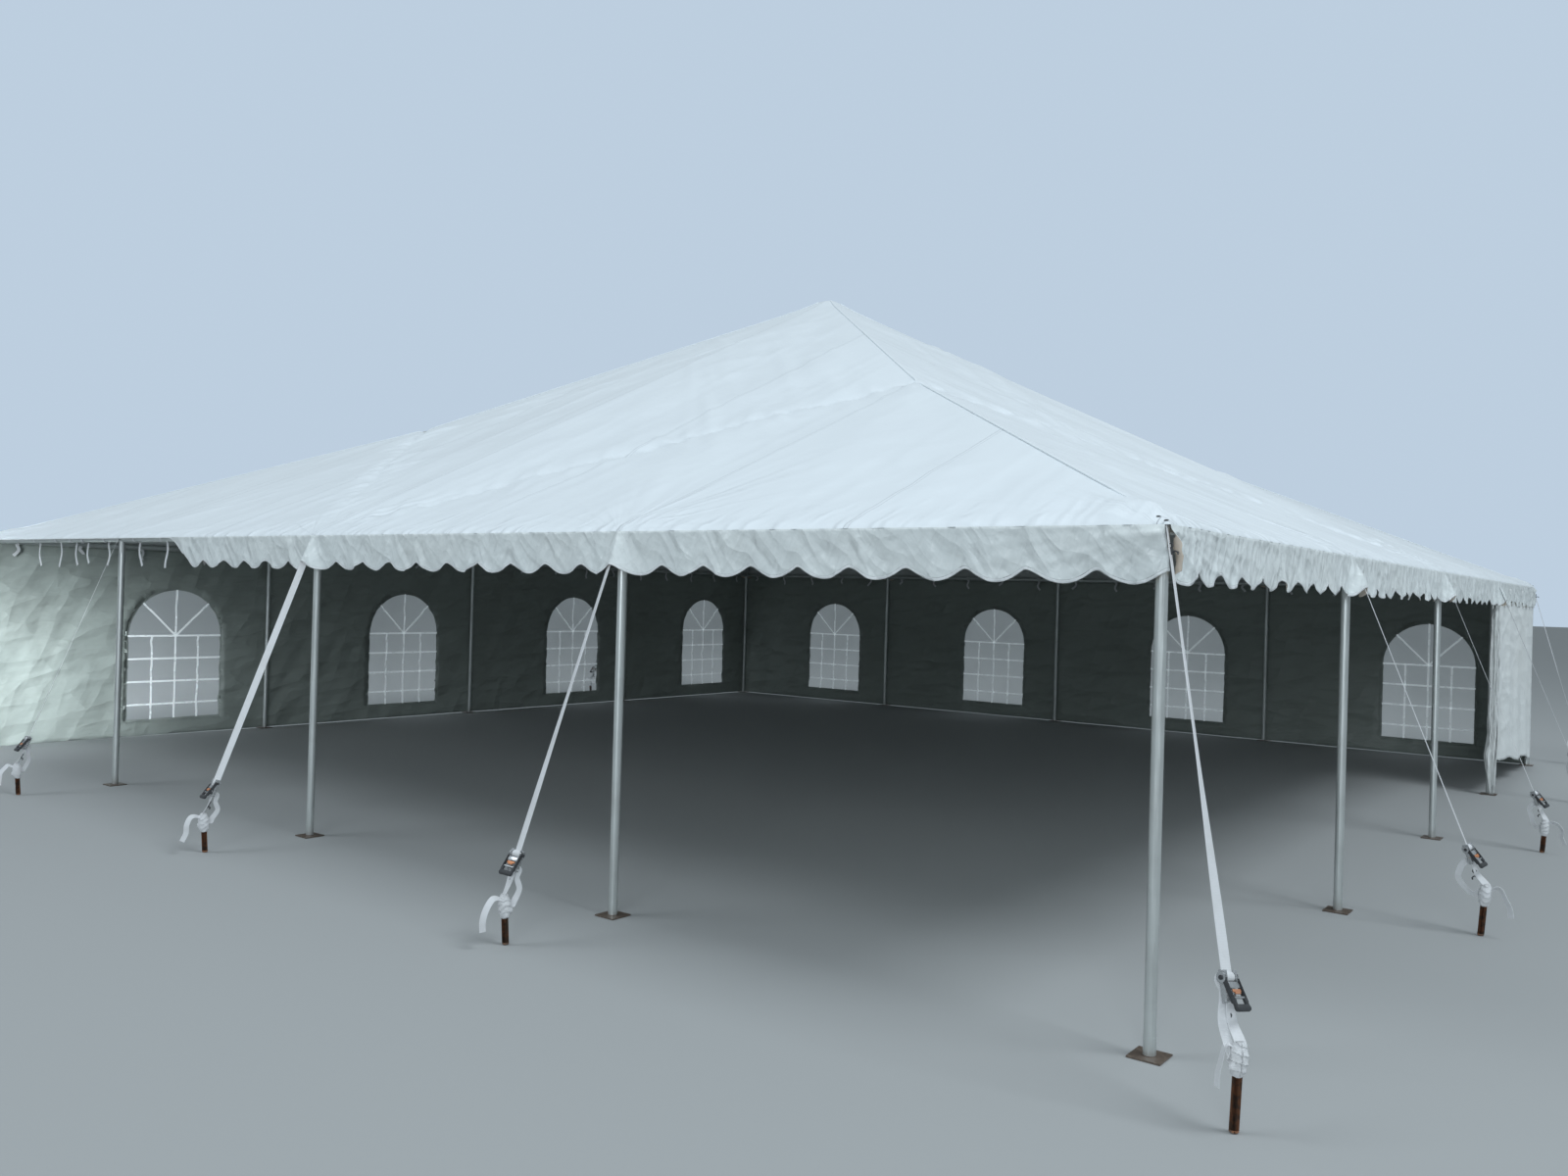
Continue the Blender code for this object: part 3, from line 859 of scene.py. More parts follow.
@dataclass(frozen=True)
class MetalFinish(Finish):
    """Metal with a drawn grain, dull patches and a worn or rusty share."""

    wear: Shade = (0.42, 0.42, 0.41)
    wear_share: float = 0.35
    grain: tuple[float, float, float] = (60.0, 60.0, 4.0)
    foot_height: float = 0.0
    foot: Shade = (0.125, 0.095, 0.075)
    rust: Shade | None = None
    rust_low: float = 0.52
    dull: float = 0.1

    def values(self, nodes: Nodes) -> dict[str, object]:
        """Add grain, wear, rust and a soiled foot.

        Args:
            nodes: The material's nodes.

        Returns:
            What goes into the shader's inputs.
        """
        place, metallic = nodes.place(), self.metallic
        stretch = nodes.add("Mapping", {"Vector": place, "Scale": self.grain}).outputs["Vector"]
        grain = nodes.pattern(Soiling(), stretch, 1.0)
        patches = nodes.pattern(Soiling(), place, 5.0)
        share = nodes.spread(patches["Blotches"], wanted=(0.0, self.wear_share))
        colour = nodes.mixed(share, self.colour, self.wear)
        if self.rust is not None:
            noise = nodes.noise(place, 30.0, 6.0).outputs[0]
            rusty = nodes.spread(noise, (self.rust_low, self.rust_low + 0.08))
            colour = nodes.mixed(rusty, colour, self.rust)
            metallic = nodes.spread(rusty, wanted=(self.metallic, self.dull))
        if self.foot_height:
            height = nodes.add("SeparateXYZ", {0: place}).outputs["Z"]
            low = nodes.spread(height, (self.foot_height, self.foot_height + 0.002), (1.0, 0.0))
            mud = nodes.product(nodes.spread(height, (0.0, 0.1), (0.75, 0.0)), patches["Blotches"])
            foot = nodes.maths("MAXIMUM", low, mud)
            brown = nodes.mixed(grain["Blotches"], self.foot, tuple(part * 1.7 for part in self.foot))
            colour = nodes.mixed(foot, colour, brown)
            metallic = nodes.spread(foot, wanted=(self.metallic, self.dull))
        rough = nodes.spread(grain["Blotches"], wanted=(self.roughness, self.roughness + 0.18))
        return {"Base Color": colour, "Roughness": rough, "Metallic": metallic,
                "Normal": nodes.bumped(grain["Blotches"], 0.0004)}


@dataclass(frozen=True)
class WebbingFinish(Finish):
    """Woven polyester band with a little grime."""

    grime: Shade = (0.5, 0.49, 0.46)

    def values(self, nodes: Nodes) -> dict[str, object]:
        """Add weave, grime and a darker tone in the weave's low places.

        Args:
            nodes: The material's nodes.

        Returns:
            What goes into the shader's inputs.
        """
        weave = nodes.pattern(Weave(), nodes.place(own_map=True), 1.0)
        soiling = nodes.pattern(Soiling(), nodes.place(), 9.0)
        share = nodes.spread(soiling["Blotches"], wanted=(0.0, 0.25))
        # The weave's low places are mixed towards the grime colour, darker between the threads.
        weave_hollows = nodes.spread(weave["Height"], (0.0, 2.0), (0.16, 0.0))
        colour = nodes.mixed(weave_hollows, nodes.mixed(share, self.colour, self.grime), self.grime)
        return {"Base Color": colour, "Normal": nodes.bumped(weave["Height"], 0.0006),
                "Roughness": nodes.spread(soiling["Blotches"], wanted=(self.roughness, 0.95))}


@dataclass(frozen=True)
class RubberFinish(Finish):
    """Moulded rubber of the ratchet grips."""

    def values(self, nodes: Nodes) -> dict[str, object]:
        """Add a fine grain and dust.

        Args:
            nodes: The material's nodes.

        Returns:
            What goes into the shader's inputs.
        """
        soiling = nodes.pattern(Soiling(), nodes.place(), 22.0)
        share = nodes.spread(soiling["Blotches"], wanted=(0.0, 0.4))
        return {"Base Color": nodes.mixed(share, self.colour, self.tinted(2.6)),
                "Roughness": nodes.spread(soiling["Blotches"], wanted=(self.roughness, 0.85)),
                "Normal": nodes.bumped(soiling["Specks"], 0.0006)}


def made(finish: Finish) -> Material:
    """Field that holds a finish's material."""
    return field(default_factory=finish.make)


@dataclass
class Finishes:
    """All finishes of the tent, made once."""

    # The canopy's back colour is painted shade: its underside is the same white vinyl, made darker.
    canopy: Material = made(RoofFinish(
        "canopy_white", (0.8, 0.85, 0.885), 0.42, crease_scale=1.4, crease_depth=0.016, lap_pitch=1.524,
        soil_share=0.08, soil=(0.6, 0.63, 0.62), back=(0.72, 0.75, 0.74)))
    # The valance's base colour is the white vinyl made darker than the canopy's: painted shade on the hanging skirt.
    valance: Material = made(VinylFinish(
        "valance_white", (0.71, 0.755, 0.755), 0.38, crease_scale=4.6, crease_depth=0.022, hem_width=0.013,
        soil_share=0.14, folds=((0.095, 0.8, 0.024), (0.05, -0.5, 0.011))))
    valance_inner: Material = made(VinylFinish(
        "valance_inner_cream", (0.92, 0.8, 0.68), 0.55, crease_scale=4.5, crease_depth=0.008))
    wall: Material = made(VinylFinish(
        "sidewall_white", (0.84, 0.87, 0.86), 0.45, crease_scale=3.0, crease_depth=0.014,
        folds=((0.17, 1.45, 0.014), (0.2, 0.25, 0.012))))
    # The inner side's dark grey is painted shade of the dim inside of the tent: the cloth is white on both sides. Its
    # blotches and specks are dirt.
    wall_inner_painted_shade: Material = made(VinylFinish(
        "sidewall_inner_painted_shade", (0.31, 0.345, 0.32), 0.5, crease_scale=2.6, crease_depth=0.024,
        soil_share=0.22, folds=((0.19, 1.45, 0.052), (0.26, 0.45, 0.034)), soil=(0.24, 0.25, 0.22)))
    binding: Material = made(VinylFinish(
        "binding_white", (0.8, 0.85, 0.88), 0.5, crease_scale=14.0, crease_depth=0.002, soil_share=0.04))
    film: Material = made(FilmFinish("clear_film", (0.86, 0.9, 0.89), 0.12))
    # The bars' emission is painted light: a glow that stands in for daylight through the white strips.
    bars: Material = made(VinylFinish(
        "window_bars_white", (0.84, 0.86, 0.85), 0.5, crease_scale=14.0, crease_depth=0.001, soil_share=0.05,
        translucence=0.6, glow=0.26))
    aluminium: Material = made(MetalFinish("mill_aluminium", (0.66, 0.69, 0.68), 0.34, 0.85))
    leg: Material = made(MetalFinish("leg_aluminium", (0.66, 0.69, 0.68), 0.34, 0.85, foot_height=0.0075))
    galvanised: Material = made(MetalFinish(
        "galvanised_steel", (0.55, 0.56, 0.57), 0.45, 0.9, grain=(40.0, 40.0, 40.0)))
    zinc: Material = made(MetalFinish(
        "zinc_plate", (0.52, 0.53, 0.54), 0.24, 0.85, grain=(80.0, 80.0, 80.0), rust=(0.34, 0.2, 0.11),
        rust_low=0.68))
    orange_zinc: Material = made(MetalFinish(
        "orange_tongue", (0.62, 0.24, 0.1), 0.38, 0.35, grain=(80.0, 80.0, 80.0)))
    stake: Material = made(MetalFinish(
        "rusty_stake", (0.16, 0.105, 0.075), 0.7, 0.2, grain=(60.0, 60.0, 12.0), wear=(0.2, 0.11, 0.07),
        wear_share=0.8, rust=(0.3, 0.14, 0.075), rust_low=0.44))
    webbing: Material = made(WebbingFinish("strap_webbing", (0.8, 0.81, 0.83), 0.75))
    rubber: Material = made(RubberFinish("grip_rubber", (0.035, 0.037, 0.04), 0.55))


@dataclass(frozen=True)
class EaveFolds:
    """Small folds that run over the eave of one side, from the roof down into the valance.

    The spans are the least and most width, height, reach on the roof and lean on the valance.
    """

    side: Side
    half: float
    pitch: float = 0.17
    spans: tuple[Limits, ...] = ((0.016, 0.036), (0.003, 0.0095), (0.12, 0.5), (-0.7, 0.7))

    def lines(self) -> Array:
        """Draw the folds.

        Returns:
            Place, width, height, reach and lean of each.
        """
        rng = np.random.default_rng(40 + self.side.value)
        count = int(2 * self.half / self.pitch)
        place = np.linspace(-self.half + 0.1, self.half - 0.1, count) + rng.uniform(-0.06, 0.06, count)
        return np.stack([place] + [rng.uniform(low, high, count) for low, high in self.spans], axis=1)

    def swell(self, along: Array) -> Array:
        """How far the folds stand out at the eave's edge.

        Args:
            along: Places along the side.

        Returns:
            Distances.
        """
        swell = 0.004 * crumple(along * 3.3, along * 0, 20 + self.side.value, 2)
        for place, width, height, _, _ in self.lines():
            swell = swell + height * bell((along - place) / (1.3 * width))
        return swell * smoothstep((self.half - np.abs(along)) / 0.12)


@dataclass
class Assembly:
    """A part of the tent that is built on the shared plan, in the shared finishes."""

    plan: TentPlan
    finishes: Finishes


@dataclass
class Canopy(Assembly):
    """The roof sheet: one continuous cloth over the rafters, with its hip piping and corner grommets.

    A streak's sizes are its distance from the hip, start, length, width, height and lean. A pucker's are its shift,
    width, length, height, slant and drift. The fan's reaches are degrees to each side, at a corner and elsewhere.
    """

    cells_per_bay: int = 72
    sag_load: float = 0.035
    slack_share: float = 0.55
    relax_rounds: int = 260
    cut: float = 12.8
    rim: tuple[float, ...] = (0.01, 0.02, 0.029, 0.0355)
    crown_round: float = 0.028
    crown_flat: float = 0.006
    fans_per_post: int = 9
    fan_reaches: Limits = (44, 80)
    fan_spot: float = 2.9
    fan_sizes: tuple[Limits, ...] = ((0.8, 2.8), (0.04, 0.062), (0.006, 0.017))
    streaks: int = 26
    streak_sizes: tuple[Limits, ...] = ((0.25, 2.2), (0.6, 3.4), (1.2, 3.2), (0.05, 0.11), (0.004, 0.013), (-0.16, 0.1))
    pucker_pitch: float = 0.17
    pucker_sizes: tuple[Limits, ...] = ((-0.06, 0.06), (0.04, 0.056), (0.08, 0.34), (0.01, 0.029), (-0.4, 0.4),
                                        (-0.05, 0.05))
    valley_depth: float = 0.024
    piping_width: float = 0.011
    piping_height: float = 0.0065
    piping_end: tuple[float, ...] = (0.0005, 0.0015, 0.003, 0.006)
    eyelet_radius: float = 0.0095
    eyelets: tuple[Limits, ...] = ((0.008, 0.024), (-0.018, -0.0185))

    def support(self, x: Array, y: Array) -> Array:
        """Height of the folded flat panels that the CAD holds.

        Args:
            x: Plan places across.
            y: Plan places in depth.

        Returns:
            Height of the cloth's upper side.
        """
        plan = self.plan
        outer, inner = folded(x, y)
        upper = plan.crown_height - plan.main_slope * outer - plan.cross_slope * inner
        lower = plan.rail_height + plan.eave_slope * (plan.half - outer)
        return np.maximum(upper, lower) + plan.cover_rise + plan.fabric

    def relaxed(self, x: Array, y: Array) -> Array:
        """Height of the cloth once it hangs slack between the tubes.

        Args:
            x: Plan places across, on a square grid.
            y: Plan places in depth.

        Returns:
            Heights.
        """
        plan = self.plan
        step = plan.bay / self.cells_per_bay
        flat = self.support(x, y)
        outer, inner = folded(x, y)
        held = (inner < step / 4) | (np.abs(outer - inner) < step / 4) | (outer > plan.half - step / 4)
        held |= (np.abs(inner - plan.knee_place) < step / 4) & (outer > plan.knee_place)
        cloth = flat.copy()
        free = ~held[1:-1, 1:-1]
        odd = (np.add.outer(np.arange(free.shape[0]), np.arange(free.shape[1])) % 2).astype(bool)
        over = 2 / (1 + math.sin(math.pi / self.cells_per_bay))
        for _ in range(self.relax_rounds):
            for moved in (free & odd, free & ~odd):
                middle = cloth[1:-1, 1:-1]
                around = (cloth[2:, 1:-1] + cloth[:-2, 1:-1] + cloth[1:-1, 2:] + cloth[1:-1, :-2]) / 4
                change = over * (around - self.sag_load * step * step / 4 - middle)
                middle[moved] += change[moved]
        return flat + (cloth - flat) * self.slack_share

    def fans(self, x: Array, y: Array) -> Array:
        """Height of the broad creases that fan from each post.

        Args:
            x: Plan places across.
            y: Plan places in depth.

        Returns:
            Heights.
        """
        plan = self.plan
        rise = np.zeros_like(x)
        for number, (_, side, index) in enumerate(plan.posts()):
            rng = np.random.default_rng(100 + number)
            post = on_side(side, plan.post_line(index), -plan.half)
            inward = -post if index == 0 else on_side(side, 0.0, 1.0)
            facing = math.atan2(inward[1], inward[0])
            near = np.hypot(x - post[0], y - post[1]) < self.fan_spot
            dx, dy = (x - post[0])[near], (y - post[1])[near]
            reach = math.radians(self.fan_reaches[index > 0])
            tallest = np.zeros(near.sum())
            for _ in range(self.fans_per_post):
                lean, length, width, height = draws(rng, (-reach, reach), *self.fan_sizes)
                c, s = math.cos(facing + lean), math.sin(facing + lean)
                run, off = dx * c + dy * s, -dx * s + dy * c
                shape = bell(off / (width * (0.8 + 0.6 * np.maximum(run, 0))))
                fade = 1 - smoothstep(run / length)
                tallest = np.maximum(tallest, height * shape * smoothstep(run / 0.15) * fade)
            rise[near] += tallest
        return rise

    def panel_folds(self, side: Side, across: Array, depth: Array) -> Array:
        """Height of one panel's folds at the eave, along the slope and over its two valleys.

        Args:
            side: Side of the panel.
            across: Places along the eave.
            depth: Places from the middle of the plan out to the eave.

        Returns:
            Heights, also past the panel's own edges.
        """
        plan = self.plan
        rise = np.zeros_like(across)
        inside = plan.half - depth
        for place, width, height, reach, lean in EaveFolds(side, plan.half).lines():
            near = (np.abs(across - place) < 0.25) & (inside > -0.05) & (inside < reach)
            shape = bell((across[near] - place + 0.6 * lean * inside[near]) / max(width, 0.042))
            rise[near] += height * 1.2 * shape * (1 - smoothstep(inside[near] / reach))
        rng = np.random.default_rng(60 + side.value)
        on_panel = (depth > 0) & (np.abs(across) <= depth + 1e-6)
        for _ in range(self.streaks):
            hand = rng.choice(HANDS)
            off, start, length, width, height, lean = draws(rng, *self.streak_sizes)
            line = hand * across - (depth - off - lean * (depth - start))
            run = (depth - start) / length
            shape = bell(line / width) * smoothstep(run * 3) * (1 - smoothstep(run * 1.6 - 0.6))
            rise += height * shape * on_panel * smoothstep((depth - np.abs(across)) / 0.25)
        length = plan.knee_place * math.sqrt(2)
        for hand in HANDS:
            run = (hand * across + inside) / math.sqrt(2)
            off = (inside - hand * across) / math.sqrt(2)
            near = on_panel & (hand * across >= 0) & (np.abs(off) < 0.8)
            run, off = run[near], off[near]
            shape = np.zeros_like(run)
            for spot in np.arange(0.35, length, self.pucker_pitch):
                shift, wide, long, tall, slant, drift = draws(rng, *self.pucker_sizes)
                shape += tall * bell((run - (spot + shift) - slant * off) / wide, (off - drift) / long)
            rise[near] += shape - self.valley_depth * np.exp(-np.abs(off) / 0.07) * smoothstep(run / 0.5)
        return rise

    def creases(self, x: Array, y: Array) -> Array:
        """Height of all folds and creases of the sheet.

        Args:
            x: Plan places across.
            y: Plan places in depth.

        Returns:
            Heights to add.
        """
        plan = self.plan
        outer, inner = folded(x, y)
        rise = self.fans(x, y)
        for side in Side:
            local = turned(np.stack([x, y, np.zeros_like(x)], axis=-1), -side.turn)
            rise += self.panel_folds(side, local[..., 0], -local[..., 1])
        slack = np.minimum.reduce([inner, (outer - inner) / math.sqrt(2), plan.half - outer,
                                   np.abs(inner - plan.knee_place) + 3 * (outer < plan.knee_place)])
        slack = smoothstep(slack / 0.45)
        wave = inner * 6.1 + 1.2 * np.sin(outer * 1.3 + inner) + np.sign(x) + 2 * np.sign(y)
        rise += slack * 0.008 * np.sin(wave)
        rise += slack * 0.006 * crumple(x * 1.9, y * 1.9, 11)
        from_corner = np.hypot(outer - plan.half, inner - plan.half)
        eave = 1 - smoothstep((plan.half - outer) / 0.4)
        rise += (0.004 * eave + 0.007 * bell(from_corner / 0.38)) * crumple(x * 5.2, y * 5.2, 12, 2)
        return rise + 0.012 * bell((from_corner - 0.2) / 0.13)

    def sheet_points(self, full: Array, z: Array) -> Array:
        """Points of the whole sheet, with its creases, rolled eaves and rounded crown.

        Args:
            full: Plan places of the grid's lines, the eaves' roll among them.
            z: Heights of the grid's points, level past the leg lines.

        Returns:
            The points, as a grid.
        """
        plan = self.plan
        x, y = np.meshgrid(full, full)
        past = np.clip(folded(x, y)[0] - plan.half, 0.0, plan.eave_offset)
        share = past / plan.eave_offset
        z = z - (plan.eave_slope * past + plan.eave_roll * (1 - np.sqrt(1 - share ** 2 + 1e-12)))
        z += self.creases(x, y) * (1 - smoothstep(share))
        for side in Side:
            local = turned(np.stack([x, y, z], axis=-1), -side.turn)
            rim_share = np.clip((-local[..., 1] - plan.half) / plan.eave_offset, 0, 1)
            local[..., 1] -= EaveFolds(side, plan.half).swell(local[..., 0]) * rim_share
            back = turned(local, side.turn)
            x, y = back[..., 0], back[..., 1]
        away = np.hypot(x, y)
        top = plan.crown_height + plan.cover_rise + plan.fabric - 0.004
        z = z + self.crown_round * bell(away / 0.2)
        flattened = top - np.log(1 + np.exp((top - z) / self.crown_flat - 0.5)) * self.crown_flat
        return np.stack([x, y, np.where(away < 0.5, flattened, z)], axis=-1)

    def build_sheet(self) -> Piece:
        """Build the roof sheet, its triangles split along the folds of the slope.

        Returns:
            The sheet.
        """
        plan = self.plan
        step = plan.bay / self.cells_per_bay
        line = np.linspace(-plan.half, plan.half, plan.bays * self.cells_per_bay + 1)
        rim = np.array([*self.rim, plan.eave_offset])
        full = np.concatenate([-(plan.half + rim[::-1]), line, plan.half + rim])
        z = np.pad(self.relaxed(*np.meshgrid(line, line)), len(rim), mode="edge")
        points = self.sheet_points(full, z).reshape(-1, 3)
        cells = grid_faces(len(full), len(full))
        middle = points[cells].mean(axis=1)
        fold = np.abs(np.abs(middle[:, 0]) + np.abs(middle[:, 1]) - plan.half) < step * 0.25
        rising = ((middle[:, 0] * middle[:, 1] > 0) ^ fold)[:, None]
        first = np.where(rising, cells[:, [0, 1, 2]], cells[:, [0, 1, 3]])
        second = np.where(rising, cells[:, [0, 2, 3]], cells[:, [1, 2, 3]])
        faces = np.stack([first, second], axis=1).reshape(-1, 3)
        centre = points[faces].mean(axis=1)
        wedge = (centre[:, 0] > 0) + 2 * (centre[:, 1] > 0) + 4 * (np.abs(centre[:, 0]) > np.abs(centre[:, 1]))
        outer, inner = folded(*np.meshgrid(full, full))
        uv = stacked(inner, outer)[faces]
        uv[..., 0] += wedge[:, None] * plan.bay * 8
        return placed(add_mesh("canopy", points, faces, uv), self.finishes.canopy,
                      [f"roof_panel_{side.title}" for side in Side])

    def build_piping(self, cloth: Array) -> Piece:
        """Piping welded along the four hips, from the crown to the corners.

        Args:
            cloth: Points of the roof sheet that it lies on.

        Returns:
            The piping.
        """
        from_middle = np.abs(cloth[:, 0])
        on_hip = cloth[(np.abs(from_middle - np.abs(cloth[:, 1])) < 1e-4) & (from_middle > 0.06)]
        parts = []
        for side in Side:
            signs = on_side(side, -1.0, -1.0)
            run = on_hip[(on_hip[:, 0] * signs[0] > 0) & (on_hip[:, 1] * signs[1] > 0)]
            run = run[np.argsort(np.abs(run[:, 0]))]
            run = run[np.abs(run[:, 0]) < self.plan.half - 0.22] + [0.0, 0.0, 0.003]
            run[-len(self.piping_end):, 2] -= self.piping_end
            parts.append(ribbon(run, [-signs[1], signs[0], 0.0], self.piping_width, self.piping_height))
        piece = add_mesh("canopy_hip_piping", *merged(parts))
        crease_over(piece, 50)
        return placed(piece, self.finishes.binding)

    def build_grommets(self, cloth: Array) -> None:
        """Two small dark eyelets in the cloth at each corner.

        Args:
            cloth: Points of the roof sheet.
        """
        deselect()
        eyes = []
        for side in Side:
            for along, inward in self.eyelets:
                x, y, _ = on_side(side, -self.plan.half + along, -self.plan.half + inward)
                height = cloth[np.hypot(cloth[:, 0] - x, cloth[:, 1] - y).argmin(), 2]
                bpy.ops.mesh.primitive_uv_sphere_add(segments=14, ring_count=8, radius=self.eyelet_radius,
                                                     location=(x, y, height + 0.001))
                eyes.append(bpy.context.object)
                eyes[-1].scale.z = 0.4
        placed(joined(eyes, "corner_grommets"), self.finishes.rubber)

    def build(self) -> None:
        """Build the canopy."""
        sheet = self.build_sheet()
        cloth = np.array([v.co for v in sheet.data.vertices])
        piping = self.build_piping(cloth)
        self.build_grommets(cloth)


@dataclass
class Valance(Assembly):
    """Scalloped skirt below the eave of one side.

    The slits are the gaps at the corners, at the eave and at the hem. The corner creases are their slope and height.
    """

    side: Side
    depth: float = 0.242
    rise: float = 0.056
    scallops_per_bay: int = 10
    steps_per_scallop: int = 24
    rows: int = 18
    notch: float = 0.22
    slit_free: Limits = (0.017, 0.013)
    slit_tight: Limits = (0.0185, -0.0175)
    flare: float = 0.466
    cloth: float = 0.0015
    lost_length: float = 3.96
    lost_taper: float = 0.45
    sliver: float = 0.006
    front_depth: float = 0.2
    inward: float = 0.006
    folds: int = 110
    fold_sizes: tuple[Limits, ...] = ((0.014, 0.05), (0.004, 0.014), (-1.1, 1.1))
    corner_creases: tuple[Limits, ...] = ((0.09, 0.014), (0.17, 0.011), (0.28, 0.014), (0.45, 0.009), (0.72, 0.011))
    curl: float = 0.02
    curl_right: float = 0.064

    def drop(self, along: Array) -> Array:
        """Depth of the valance at places along it.

        Args:
            along: Places along the side.

        Returns:
            Depth from the eave to the scalloped hem.
        """
        half, notch = self.plan.half, self.notch
        share = ((along + half) / (self.plan.bay / self.scallops_per_bay)) % 1.0
        swing = (np.hypot(np.sin(np.pi * share), notch) - notch) / (math.hypot(1, notch) - notch)
        drop = self.depth - self.rise * (1 - swing)
        if self.side is Side.FRONT:
            there = smoothstep((along - (-half + self.lost_length)) / self.lost_taper)
            drop = self.sliver + (drop - self.sliver) * there
        return drop

    def stand(self, along: Array, down: Array) -> Array:
        """How far outside the leg line the cloth hangs.

        Args:
            along: Places along the side.
            down: Distances below the eave.

        Returns:
            Distances from the leg line.
        """
        plan, number = self.plan, self.side.value
        share = down / self.depth
        cone = np.clip(1 - plan.from_post(along) / (0.03 + 0.62 * down), 0, 1) ** 1.25
        cone = cone * (np.abs(along) < plan.half - plan.bay / 2)
        eave_folds = EaveFolds(self.side, plan.half)
        free = np.zeros_like(along)
        for place, width, height, _, lean in eave_folds.lines():
            shape = bell((along - (place + lean * down)) / (width * (1 + share)))
            free += height * 1.6 * shape * (0.4 + 0.6 * share)
        rng = np.random.default_rng(80 + number)
        for _ in range(self.folds):
            place, width, tall, lean = draws(rng, (-plan.half, plan.half), *self.fold_sizes)
            free += tall * bell((along - place - lean * (down - 0.12)) / width) * share ** 1.4
        corner = np.exp(-(plan.half - np.abs(along)) / 0.35)
        free += 0.002 * crumple(along * 8, down * 11, 21 + number, 2)
        free += 0.008 * corner * crumple(along * 11, down * 14, 25 + number, 2)
        free += 0.005 * share * np.sin(along * 7.3 + number)
        for away in (plan.half + along, plan.half - along):
            for slope, tall in self.corner_creases:
                line = (down - 0.012 - slope * away) / 0.017
                free += tall * np.exp(-line ** 2 - away / 0.5) * smoothstep(away / 0.04)
        below = smoothstep(down / 0.05)
        edge = eave_folds.swell(along) * (1 - below)
        return plan.eave_offset + self.flare * down * cone + np.maximum(free, -self.inward) * below + edge

    def build(self) -> None:
        """Build the valance."""
        plan, side = self.plan, self.side
        step = plan.bay / self.scallops_per_bay / self.steps_per_scallop
        along = np.arange(round(2 * plan.half / step) + 1) * step - plan.half
        along = np.concatenate([np.linspace(-plan.half, along[9], 41)[:-1], along[9:]])
        drop = self.drop(along)
        share = np.linspace(0, 1, self.rows + 1)[:, None]
        down = share * drop[None, :]
        whole = along[None, :] + 0 * down
        top, low = (np.where(whole < 0, free, tight) for free, tight in zip(self.slit_free, self.slit_tight))
        slit = top + (low - top) * down / self.depth - plan.eave_offset
        place = whole * (plan.half - slit) / plan.half
        from_left = whole + plan.half
        out = self.stand(whole, down) - 0.01 * bell(from_left / 0.16) * smoothstep(down / 0.04)
        curl = np.exp(-(from_left / 0.032) ** 1.5) * smoothstep(down / 0.085)
        curl *= 1 - 0.35 * smoothstep((down - 0.13) / 0.12)
        out = out + (self.curl_right if side is Side.RIGHT else self.curl) * curl
        points = turned(stacked(place, -(plan.half + out), plan.eave_top - down), side.turn)
        uv = stacked(whole, (1 - share) * drop[None, :])
        piece = add_mesh(f"valance_cloth_{side.title}", points, grid_faces(*down.shape)[:, ::-1], uv)
        placed(piece, self.finishes.valance, [f"valance_{side.title}"])
        backed(piece, self.cloth, self.finishes.valance_inner)


